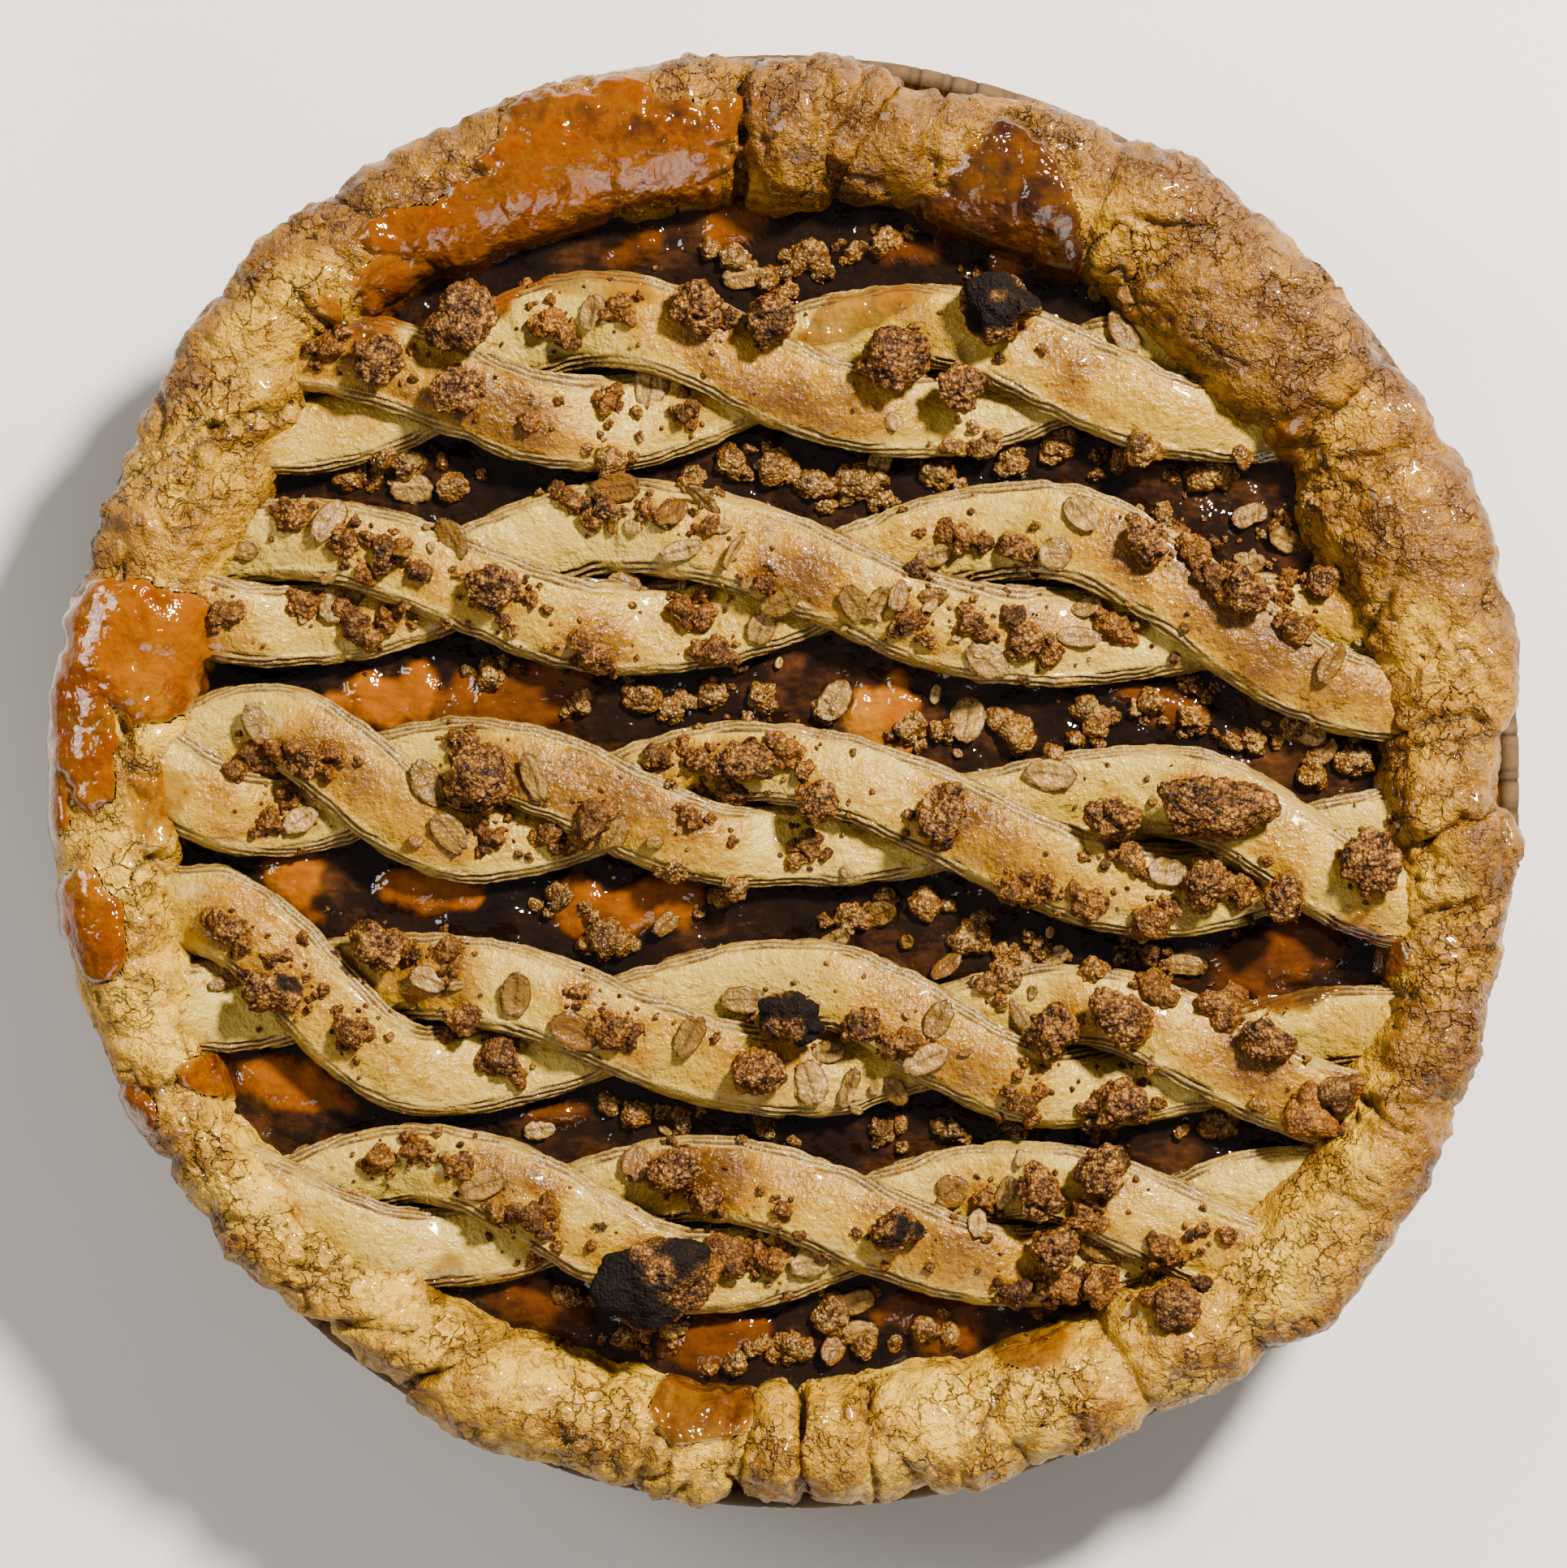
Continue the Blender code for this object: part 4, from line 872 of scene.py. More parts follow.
def strip_section():
    """Outline of a strip across its width: place across, height, 1 on the layered sides, and how far
    down the side the point is."""
    half = STRIP_THICKNESS / 2
    points = []
    for across in np.linspace(-STRIP_SHOULDER, STRIP_SHOULDER, STRIP_TOP_ROWS):
        points.append((across, half + 0.25 - 0.9 * (abs(across) / STRIP_SHOULDER) ** 2.3, 0.0, 0.0))
    down = np.linspace(0.0, 1.0, STRIP_SIDE_ROWS + 1)
    reach = lerp(STRIP_SHOULDER, 1.0, down**0.8)
    side = list(zip(reach, lerp(half - 0.65, -half * 0.8, down**1.2), np.ones(len(down)), down))
    points += side[1:]
    points += [(across, -half, 0.6, 1.0) for across in np.linspace(0.94, -0.94, STRIP_UNDER_ROWS)]
    points += [(-across, height, layered, t) for across, height, layered, t in side[:0:-1]]
    return np.array(points)


def unit_ball(detail):
    """Points and faces of a ball of radius 1 with even triangles."""
    bm = bmesh.new()
    bmesh.ops.create_icosphere(bm, subdivisions=detail, radius=1.0)
    points = np.array([vert.co[:] for vert in bm.verts])
    faces = np.array([[vert.index for vert in face.verts] for face in bm.faces])
    bm.free()
    return points, faces


BALLS = {detail: unit_ball(detail) for detail in (2, 3, 4, LUMP_DETAIL)}


def crumble_lump(size, detail, seed, grain=0.85, craggy=0.3):
    """A lump of crumble about its own middle: points, and how deep each lies between the grains."""
    ball, faces = BALLS[detail]
    points = ball * np.array(size) / 2
    spread = float(np.mean(size))
    shift = np.array([seed * 17.3 % 97, seed * 7.7 % 89, seed * 3.1 % 83])
    big = mottle(points + shift, spread * 0.5, seed)
    middle = mottle(points + shift, spread * 0.2, seed + 9)
    facets = np.abs(mottle(points + shift, spread * 0.34, seed + 5))
    reach = 0.86 + craggy * (0.7 * big + 0.22 * middle + 0.35 * facets)
    points = points * reach[:, None]
    depth = grains(points + shift, grain, seed)
    coarse = grains(points + shift, grain * 2.6, seed + 40)
    out = np.clip(0.6 - depth, -0.35, 0.5) * grain * 0.85 + np.clip(0.5 - coarse, -0.35, 0.3) * grain * 0.8
    return points + ball * out[:, None], np.clip(0.7 * depth + 0.5 * coarse - 0.35, 0.0, 1.0), faces


def oat_flake(length, width, draw):
    """A flat rolled oat about its own middle: ragged rim, groove along it, slightly curled."""
    rings, around = 7, 26
    points = []
    wobble = [draw.uniform(-0.09, 0.05) for _ in range(around)]
    bite = draw.uniform(0.0, math.tau)
    bitten = draw.choice((0.0, 0.0, 0.25, 0.4))
    curl = draw.uniform(0.01, 0.045)
    cup = draw.uniform(-0.05, 0.03)
    for layer in (1, -1):
        for ring in range(rings):
            share = (ring / (rings - 1)) ** 0.8 if ring else 0.0
            for step in range(around):
                angle = math.tau * step / around
                reach = share * (1 + wobble[step] * share)
                from_bite = math.remainder(angle - bite, math.tau)
                reach *= 1 - bitten * share**2 * math.exp(-((from_bite / 0.5) ** 2))
                x = math.cos(angle) * length / 2 * reach
                y = math.sin(angle) * width / 2 * reach
                z = layer * OAT_LAYER * (1 - share**4) ** 0.5
                if layer > 0:
                    z -= 0.3 * math.exp(-((y / 0.38) ** 2)) * (1 - share**3)
                    z += 0.12 * math.cos(y * 3.1)
                z += curl * x * x + cup * y * y + 0.09 * math.sin(2.3 * x + bite)
                points.append((x, y, z))
    faces = grid_faces(rings, around)
    under = [tuple(rings * around + corner for corner in face[::-1]) for face in faces]
    last = (rings - 1) * around
    rim = [(last + k, last + (k + 1) % around) for k in range(around)]
    sides = [(a, b, b + rings * around, a + rings * around) for a, b in rim]
    return np.array(points), faces + under + sides


def rotated(points, turn, tilt, tilt_way):
    """Points turned about Z, then tilted about a level axis, all in degrees."""
    a = math.radians(turn)
    spin = np.array([[math.cos(a), -math.sin(a), 0], [math.sin(a), math.cos(a), 0], [0, 0, 1]])
    b = math.radians(tilt)
    c = math.radians(tilt_way)
    axis = np.array([math.cos(c), math.sin(c), 0.0])
    cross = np.array([[0, 0, axis[1]], [0, 0, -axis[0]], [-axis[1], axis[0], 0]])
    lean = np.eye(3) + math.sin(b) * cross + (1 - math.cos(b)) * cross @ cross
    return points @ (lean @ spin).T


class Heap:
    """Many small things gathered into one mesh."""

    def __init__(self):
        self.points = []
        self.faces = []
        self.masks = []
        self.count = 0

    def add(self, points, faces, masks):
        self.points.append(points)
        self.faces += (np.array(faces) + self.count).tolist()
        self.masks.append(masks)
        self.count += len(points)

    def make(self, name, material, replaced=()):
        points = np.concatenate(self.points)
        masks = np.concatenate(self.masks)
        return make_piece(name, points, self.faces, material, replaced, masks)


class Ground:
    """The surfaces that crumble and oats lie on."""

    def __init__(self, *objects):
        graph = bpy.context.evaluated_depsgraph_get()
        self.trees = [BVHTree.FromObject(piece, graph) for piece in objects]

    def under(self, x, y):
        """Height and tilt of the highest surface at a place, in millimetres."""
        best, normal = None, Vector((0, 0, 1))
        for tree in self.trees:
            hit = tree.ray_cast(Vector((x * MM, y * MM, 0.08)), Vector((0, 0, -1)))
            if hit[0] and (best is None or hit[0].z > best):
                best, normal = hit[0].z, hit[1]
        return (best or 0.04) / MM, normal


# Pieces that later ones lie on, by kind, and the crimped edge's inner limit
made_pieces = {}


class PieSettings(bpy.types.PropertyGroup):
    """Colours of the dressed pie and the share of loose crumbs"""

    pastry_pale: FloatVectorProperty(
        name="Pale pastry", description="Least baked pastry", subtype="COLOR", default=(0.49, 0.28, 0.038)
    )
    pastry_golden: FloatVectorProperty(
        name="Golden pastry", description="Well baked pastry", subtype="COLOR", default=(0.31, 0.145, 0.018)
    )
    pastry_brown: FloatVectorProperty(
        name="Brown pastry", description="Most baked pastry", subtype="COLOR", default=(0.14, 0.058, 0.011)
    )
    strip_pale: FloatVectorProperty(
        name="Pale strip", description="Least baked part of the strips", subtype="COLOR",
        default=(0.44, 0.275, 0.044)
    )
    strip_golden: FloatVectorProperty(
        name="Golden strip", description="Well baked part of the strips", subtype="COLOR",
        default=(0.34, 0.165, 0.018)
    )
    syrup_dark: FloatVectorProperty(
        name="Dark syrup", description="Syrup between the strips", subtype="COLOR",
        default=(0.010, 0.0055, 0.004)
    )
    syrup_orange: FloatVectorProperty(
        name="Orange syrup", description="Syrup that ran over the crust", subtype="COLOR",
        default=(0.18, 0.040, 0.004)
    )
    peach: FloatVectorProperty(
        name="Peach", description="Ripe peach in the syrup", subtype="COLOR", default=(0.31, 0.100, 0.016)
    )
    crumble_brown: FloatVectorProperty(
        name="Crumble", description="Baked crumble", subtype="COLOR", default=(0.125, 0.050, 0.013)
    )
    oat_tan: FloatVectorProperty(
        name="Oats", description="Rolled oats", subtype="COLOR", default=(0.20, 0.110, 0.022)
    )
    paper_brown: FloatVectorProperty(
        name="Paper", description="Kraft paper of the pan", subtype="COLOR", default=(0.15, 0.09, 0.042)
    )
    crumb_scatter: FloatProperty(
        name="Loose crumbs", description="Share of the loose crumbs to scatter", subtype="FACTOR",
        min=0.0, max=1.0, default=1.0
    )


def paperboard_finish(settings):
    look = Finish("paperboard", 0.72, specular=0.3)
    fibres = look.noise(2.2, 6.0, stretch=(1.0, 1.0, 0.25))
    stains = look.noise(22.0, 3.0)
    value = look.sum((fibres, 0.45), (stains, 0.55))
    dark = [channel * 0.55 for channel in settings.paper_brown]
    light = [min(1.0, channel * 1.5) for channel in settings.paper_brown]
    base = look.ramp(value, (0.3, dark), (0.52, settings.paper_brown), (0.75, light))
    warm = look.blend(look.mask("Green"), base, STAINED_PAPER)
    # Painted shade in the pleat creases, by mask red.
    creased = look.blend(look.mask("Red"), warm, PAPER_PLEAT_SHADE)
    look.colour(creased)
    look.relief(look.noise(0.7, 1.0), 0.12, 0.6)
    return look.material


def syrup_film(look, settings):
    """Colour of set syrup over pastry, from dark through amber to orange by the masks' alpha."""
    cloud = look.noise(8.0, 4.0)
    thin = look.noise(2.4, 4.0, roughness=0.65)
    warmth = look.sum((look.mask("Alpha"), 0.85), (cloud, 1.3), (thin, 0.85), -1.0)
    return look.ramp(
        warmth, (0.0, SYRUP_SHADES[0]), (0.3, SYRUP_SHADES[1]), (0.5, SYRUP_SHADES[2]),
        (0.72, settings.syrup_orange), (1.0, SYRUP_AMBER)
    )


def flaky_plates(look, size, width):
    """Flakes of pastry skin about size millimetres across: 1 in the thin cracks between them, which the
    crust darkens as painted shade, and a different value for each flake. Both are 0 where the skin is
    smooth."""
    place = look.bent(size * 0.9, size * 1.7)
    edge = look.cells(size, place, "DISTANCE_TO_EDGE").outputs["Distance"]
    flaky = look.between(look.noise(size * 3.2, 3.0), 0.44, 0.6)
    lines = look.product(look.between(edge, 0.0, width, 1.0, 0.0), flaky)
    return lines, look.product(look.grit(size, place), flaky)


def pastry_finish(name, settings, streaky):
    """Baked pastry: mask red is how baked, and on a strip's layered sides and underside it is mostly
    painted shade, darker in the grooves and further down; green how much syrup lies on it, blue is how
    layered a cut side is, or how deep the painted shade of a crack or crease is, and alpha how orange the
    syrup is."""
    look = Finish(name, 0.45, specular=0.45)
    baked = look.mask("Red")
    syrup = look.mask("Green")
    dry = look.between(syrup, 0.05, 0.6, 1.0, 0.0)
    wet = look.between(syrup, 0.1, 0.7)
    blotches = look.noise(7.0, 4.0)
    pale = settings.strip_pale if streaky else settings.pastry_pale
    golden = settings.strip_golden if streaky else settings.pastry_golden
    if streaky:
        specks = look.noise(1.3, 4.0, roughness=0.75)
        dots = look.between(look.cells(1.9).outputs["Distance"], 0.06, 0.2, 1.0, 0.0)
        value = look.sum((baked, 1.0), (blotches, 0.6), (specks, 0.8), (dots, 0.3), -0.72)
        base = look.ramp(
            value, (0.0, STRIP_LIGHTEST), (0.3, pale), (0.62, golden), (1.0, settings.pastry_brown)
        )
        # The layered sides: pale layers, with painted shade in the grooves and further down.
        layers = look.sum((look.noise(0.9, 4.0, stretch=(0.25, 0.8, 1.6)), 0.6), (baked, 0.8), -0.2)
        side = look.ramp(layers, *zip((0.1, 0.35, 0.6, 0.85), LAYER_TONE_AND_GROOVE_SHADE))
        base = look.blend(look.mask("Blue"), base, side)
    else:
        specks = look.noise(1.6, 4.0, roughness=0.75)
        lines, tint = flaky_plates(look, 3.4, 0.08)
        fine_lines, fine_tint = flaky_plates(look, 1.5, 0.13)
        value = look.sum(
            (baked, 1.0), (blotches, 0.7), (specks, 0.8), (tint, 0.3), (fine_tint, 0.25), -0.98
        )
        base = look.ramp(
            value, (0.0, CRUST_LIGHTEST), (0.25, pale), (0.6, golden), (1.0, settings.pastry_brown)
        )
        # Painted shade in the cracks, wrinkles and creases, by mask blue.
        base = look.blend(look.sum((look.mask("Blue"), 0.9)), base, CRACK_SHADE)
        # Painted shade in the thin cracks between the flakes.
        base = look.blend(look.sum((lines, 0.8)), base, FLAKE_CRACK_SHADE)
        base = look.blend(look.sum((fine_lines, 0.55)), base, FINE_CRACK_SHADE)
        look.relief(look.product(lines, dry), -0.5, 1.0)
    freckles = look.between(look.noise(2.4, 2.0), 0.62, 0.72, 0.0, 0.6)
    base = look.blend(freckles, base, FRECKLE)
    film = look.product(syrup, look.between(look.noise(6.0, 4.0), 0.3, 0.6, 0.72, 1.0))
    look.colour(look.blend(film, base, syrup_film(look, settings)))
    sheen = look.between(look.noise(1.2, 3.0), 0.35, 0.7, 0.52, 0.25)
    sugar = look.noise(1.0, 2.0, roughness=0.6)
    sheen = look.mix(look.between(sugar, 0.54, 0.62), sheen, 0.12)
    look.relief(look.product(sugar, dry), 0.4 if streaky else 0.55, 1.0)
    look.rough(look.mix(look.between(syrup, 0.0, 0.5), sheen, 0.1))
    washed = look.between(look.noise(3.0, 3.0), 0.42, 0.6, 0.0, 0.3 if streaky else 0.5)
    look.link(look.sum((wet, 0.6), (washed, 1.0)), look.shader.inputs["Coat Weight"])
    look.relief(look.product(look.noise(0.7, 2.0, roughness=0.7), dry), 0.18 if streaky else 0.36, 1.0)
    look.relief(look.product(look.noise(2.6, 3.0, roughness=0.6), dry), 0.6 if streaky else 0.8, 0.9)
    look.relief(look.product(look.noise(2.4, 2.0), wet), 0.8, 0.8)
    look.relief(look.product(look.noise(1.0, 0.0), wet), 0.14, 0.8)
    return look.material


def filling_finish(settings):
    """Syrup and peach: mask red is how much peach shows, green how orange it is, blue how thick and
    dark the syrup is."""
    look = Finish("peach_syrup", 0.12, specular=0.6)
    cloud = look.noise(6.0, 5.0, roughness=0.6)
    fibre = look.noise(1.8, 5.0, stretch=(0.5, 1.6, 1.0))
    syrup = look.ramp(
        look.sum((cloud, 0.85), (look.mask("Blue"), -0.45), (fibre, 0.35)),
        (0.12, settings.syrup_dark), *zip((0.42, 0.62, 0.9), FILLING_SHADES)
    )
    flesh = look.ramp(
        look.sum((look.mask("Green"), 0.6), (cloud, 0.75), (fibre, 0.35), -0.48),
        (0.05, PEACH_SHADES[0]), (0.35, PEACH_SHADES[1]), (0.65, settings.peach), (1.0, PEACH_SHADES[2])
    )
    look.colour(look.blend(look.mask("Red"), syrup, flesh))
    look.rough(look.between(fibre, 0.3, 0.7, 0.04, 0.12))
    look.relief(look.noise(2.6, 2.0, roughness=0.5), 0.9, 0.6)
    look.relief(look.noise(1.0, 0.0), 0.13, 0.8)
    return look.material


def crumble_finish(name, settings, soaked):
    """Crumble: mask red is how burnt, green how deep between the grains, which darkens it as painted shade,
    blue how orange.
    """
    look = Finish(name, 0.16 if soaked else 0.5, specular=0.5 if soaked else 0.3)
    specks = look.noise(0.6, 4.0, roughness=0.75)
    patches = look.noise(3.2, 3.0)
    place = look.bent(0.8, 0.5)
    gritty = look.cells(0.6, place).outputs["Distance"]
    deep = look.mask("Green")
    tint = look.grit(0.6, place)
    # Painted shade between the grains: deeper places and the cells' edges are darker.
    value = look.sum((specks, 0.6), (patches, 0.9), (deep, -0.75), (gritty, -0.45), (tint, 0.5), -0.12)
    brown = settings.crumble_brown
    dark = [channel * 0.14 for channel in brown]
    shades = SOAKED_SHADES if soaked else (dark, brown, CRUMBLE_BRIGHT)
    base = look.ramp(value, *zip((0.12, 0.42, 0.72, 1.0), (*shades, CRUMBLE_TOP)))
    base = look.blend(look.mask("Blue"), base, CRUMBLE_ORANGE)
    base = look.blend(look.mask("Red"), base, CRUMBLE_CHAR)
    look.colour(base)
    if not soaked:
        look.rough(look.between(look.mask("Red"), 0.0, 0.8, 0.48, 0.85))
    look.relief(gritty, -0.4, 1.0)
    look.relief(look.noise(0.4, 1.0, roughness=0.75), 0.2, 1.0)
    return look.material


def oat_finish(settings):
    """Rolled oats: mask red is how toasted, green how near the groove or rim, where painted shade darkens
    it.
    """
    look = Finish("rolled_oat", 0.4, specular=0.4)
    fibres = look.noise(0.9, 5.0)
    patches = look.noise(4.0, 2.0)
    tan = settings.oat_tan
    pale = [min(1.0, channel * 1.75 + 0.04) for channel in tan]
    value = look.sum((fibres, 0.8), (patches, 0.7), (look.mask("Red"), 0.6), -0.45)
    base = look.ramp(value, (0.2, pale), (0.5, tan), (0.95, OAT_TOASTED))
    # Painted shade in the groove and along the rim, by mask green.
    look.colour(look.blend(look.mask("Green"), base, OAT_GROOVE_AND_RIM_SHADE))
    look.relief(look.noise(0.6, 1.0), 0.3, 1.0)
    look.relief(look.noise(1.8, 2.0, stretch=(1.0, 0.5, 1.0)), 0.7, 1.0)
    return look.material


class PIE_OT_paper_pan(bpy.types.Operator):
    """Make the pleated paper pan with its rolled rim"""

    bl_idname = "pie.paper_pan"
    bl_label = "Paper pan"

    def execute(self, context):
        draw = random.Random(SEED)
        profile = pan_profile()
        angle = np.arange(PAN_COLUMNS) * math.tau / PAN_COLUMNS
        crease = np.zeros(PAN_COLUMNS)
        for pleat in range(PLEATS):
            at = (pleat + draw.uniform(-0.3, 0.3)) / PLEATS * math.tau
            away = (angle - at + math.pi) % math.tau - math.pi
            deep = draw.uniform(0.5, 1.0)
            crease = np.maximum(crease, deep * np.exp(-((away * PAN_RIM_RADIUS / 0.4) ** 2)))
            twin = (away - draw.uniform(0.008, 0.016) + math.pi) % math.tau - math.pi
            crease = np.maximum(crease, 0.6 * deep * np.exp(-((twin * PAN_RIM_RADIUS / 0.35) ** 2)))
        rows = []
        for radius, z, pleated in profile:
            ring = turned(np.full(PAN_COLUMNS, radius), angle, z)
            soft = 0.25 * mottle(ring, 9.0, 3)
            out = pan_bulge(angle) * z / PAN_HEIGHT + pleated * (soft - PLEAT_DEPTH * crease)
            rows.append(turned(radius + out, angle, z + 0.12 * pleated * soft))
        points = np.array(rows)
        count = len(profile)
        masks = np.zeros((count, PAN_COLUMNS, 3))
        rolled = profile[:, 2] == RIM_PLEATING
        # Mask red is painted shade in the pleat creases, full on the rolled rim; mask green is the stained
        # inside.
        masks[:, :, 0] = crease[None, :] * np.where(rolled, 1.0, 0.7 * profile[:, 2])[:, None]
        masks[count - PAN_INNER_ROWS:, :, 1] = 0.75
        faces = grid_faces(count, PAN_COLUMNS)
        flat = points.reshape(-1, 3)
        extra = np.array([[0.0, 0.0, 0.0], [0.0, 0.0, PAPER]])
        first = list(range(PAN_COLUMNS))
        last = list(range((count - 1) * PAN_COLUMNS, count * PAN_COLUMNS))
        faces += fan(first, len(flat), True) + fan(last, len(flat) + 1)
        mask_rows = np.concatenate([masks.reshape(-1, 3), np.zeros((2, 3))])
        material = paperboard_finish(context.scene.pie)
        points = np.concatenate([flat, extra])
        make_piece("pleated_paper_pan", points, faces, material, ["paper_pan"], mask_rows)
        return {"FINISHED"}


class PIE_OT_crust(bpy.types.Operator):
    """Make the bottom crust with its crimped, flaky edge"""

    bl_idname = "pie.crust"
    bl_label = "Crimped crust"

    def execute(self, context):
        columns = crust_columns(1.0)
        outer_angle, inner_angle, inner, crease = columns[:, 0], columns[:, 1], columns[:, 3], columns[:, 5]
        under = CRUST_UNDERSIDE
        edge = crust_edge(columns)
        thick, orange = pool_masks(edge[:, :, 0].ravel(), edge[:, :, 1].ravel())
        filled = np.minimum(thick, 1.0).reshape(edge.shape[:2])[:, :, None]
        edge = lerp(edge, crust_edge(crust_columns(0.0)), 0.85 * filled)
        normals = grid_normals(edge)
        if normals[len(edge) // 2, :, 2].mean() < 0:
            normals = -normals
        flat = edge.reshape(-1, 3)
        out, crack = pastry_relief(flat, 11)
        along = np.arctan2(flat[:, 1], flat[:, 0]) * CRUST_MIDDLE_RADIUS
        across = np.hypot(flat[:, 0], flat[:, 1])
        streaks = np.stack([along, 0.22 * across, 0.22 * flat[:, 2]], axis=1)
        out += 0.5 * mottle(streaks + 2.0 * crack[:, None], 2.6, 46) * smooth(mottle(flat, 15.0, 47) / 0.5)
        facing_up = smooth((normals.reshape(-1, 3)[:, 2] + 0.15) / 0.4)
        thick = thick * facing_up
        poured = thick * (0.95 + 0.35 * mottle(flat, 5.0, 42) + 0.12 * mottle(flat, 1.8, 43))
        out = out * (1 - 0.85 * np.minimum(thick, 1)) + SYRUP_DEPTH * poured
        row_share = np.linspace(0, 1, len(edge))[:, None] + 0 * columns[:, 0][None, :]
        fade = np.minimum(1.0, np.minimum(row_share / 0.04, (1 - row_share) / 0.06)).ravel()
        flat = flat + normals.reshape(-1, 3) * (out * fade)[:, None]
        creases = (crease[None, :] * smooth((0.98 - row_share) / 0.2)).ravel()
        creases *= smooth((mottle(flat, 7.0, 44) + 0.25) / 0.3)
        outward = smooth((0.66 - row_share.ravel()) / 0.45)
        around = np.arctan2(flat[:, 1], flat[:, 0])
        hotter = smooth(0.5 + 0.5 * np.cos(around - math.radians(HOTTEST_SIDE)))
        baked = 0.26 + 0.24 * outward + 0.5 * hotter
        baked = baked + 0.30 * mottle(flat, 13.0, 41) + 0.16 * np.clip(out, -1, 1)
        # Painted shade in the cracks and the creases between folds, none under the syrup.
        crack_shade = np.clip(np.maximum(crack, 0.8 * creases), 0, 1) * (1 - np.minimum(thick * 1.5, 1.0))
        masks = np.stack([baked, np.minimum(thick * 1.8, 1.0), crack_shade, orange], axis=1)
        count = len(columns)
        wall = []
        base = PAPER + CRUST_CLEARANCE
        top = pan_wall_radius(PAN_HEIGHT - 1.0) - PAPER / 2 - 1.2
        for radius, z, angle in (
            (PAN_FLOOR_RADIUS - 2.5, base, outer_angle), (top, PAN_HEIGHT - 1.0, outer_angle),
            (PAN_RIM_RADIUS - 4.6, under, outer_angle)
        ):
            wall.append(turned(radius + pan_bulge(angle) * z / PAN_HEIGHT, angle, z))
        floor = turned(PAN_FLOOR_RADIUS - 6.0 + 0 * inner, inner_angle, SHELL_FLOOR)
        middles = [[0, 0, base], [0, 0, SHELL_FLOOR]]
        points = np.concatenate([np.array(wall).reshape(-1, 3), flat, floor, middles])
        rows = len(wall) + len(edge) + 1
        faces = grid_faces(rows, count)
        faces += fan(list(range(count)), rows * count, True)
        faces += fan(list(range((rows - 1) * count, rows * count)), rows * count + 1)
        plain = np.tile([0.4, 0.0, 0.0, 0.0], (len(wall) * count, 1))
        tail = np.tile([0.2, 0.0, 0.0, 0.0], (count + 2, 1))
        masks = np.concatenate([plain, masks, tail])
        material = pastry_finish("crimped_pastry_crust", context.scene.pie, False)
        made_pieces["crust"] = make_piece(
            "crimped_crust", points, faces, material, ["pastry_shell"], masks
        )
        made_pieces["limit"] = inner_limit(columns)
        return {"FINISHED"}


class PIE_OT_filling(bpy.types.Operator):
    """Make the syrup with the peach slices that lie in it"""

    bl_idname = "pie.filling"
    bl_label = "Peach filling"

    def execute(self, context):
        limit = made_pieces["limit"]
        angle = np.arange(FILLING_COLUMNS) * math.tau / FILLING_COLUMNS
        rim = limit(angle) + 0.4
        rings = np.linspace(0.01, 1.0, FILLING_RINGS)
        top = np.array([turned(rim * share, angle, FILLING_LEVEL) for share in rings])
        flat = top.reshape(-1, 3)
        x, y = flat[:, 0], flat[:, 1]
        peach = np.zeros(len(flat))
        orange = np.zeros(len(flat))
        height = 0.75 * mottle(flat, 7.0, 51) + 0.4 * mottle(flat, 2.8, 52)
        bubbles = grains(flat, 2.4, 53)
        height += 0.3 * np.clip(0.45 - bubbles, 0.0, 1.0) * (mottle(flat, 12.0, 54) > 0.0)
        edge = 0.42 * mottle(flat, 6.0, 55) + 0.16 * mottle(flat, 2.2, 58)
        for slice_x, slice_y, length, width, turn, warmth in PEACH_SLICES:
            a = math.radians(turn)
            along = ((x - slice_x) * math.cos(a) + (y - slice_y) * math.sin(a)) / (length / 2)
            across = ((y - slice_y) * math.cos(a) - (x - slice_x) * math.sin(a)) / (width / 2)
            away = np.sqrt(along**2 + across**2) + edge
            dome = np.sqrt(np.clip(1 - away * away, 0, 1))
            height = np.maximum(height, 1.7 * dome - 0.35 + 0.4 * mottle(flat, 3.4, 56))
            cover = smooth((1.08 - away) / 0.3)
            orange = np.where(cover > peach, warmth, orange)
            peach = np.maximum(peach, cover)
        flat = flat + np.stack([0 * x, 0 * x, np.minimum(height, FILLING_HIGHEST)], axis=1)
        thick = 0.5 + 0.5 * mottle(flat, 16.0, 57)
        masks = np.stack([peach, orange, thick], axis=1)
        shoulder = turned(rim, angle, FILLING_LEVEL - 1.2)
        foot = turned(FILLING_FOOT_RADIUS, angle, FILLING_FOOT)
        points = np.concatenate([flat, shoulder, foot, [[0, 0, FILLING_LEVEL], [0, 0, FILLING_FOOT]]])
        rows = FILLING_RINGS + 2
        faces = grid_faces(rows, FILLING_COLUMNS)
        faces += fan(list(range(FILLING_COLUMNS)), rows * FILLING_COLUMNS, True)
        lowest = list(range((rows - 1) * FILLING_COLUMNS, rows * FILLING_COLUMNS))
        faces += fan(lowest, rows * FILLING_COLUMNS + 1)
        masks = np.concatenate([masks, np.zeros((2 * FILLING_COLUMNS + 2, 3))])
        material = filling_finish(context.scene.pie)
        made_pieces["filling"] = make_piece(
            "peach_and_syrup", points, faces, material, ["peach_filling"], masks
        )
        return {"FINISHED"}


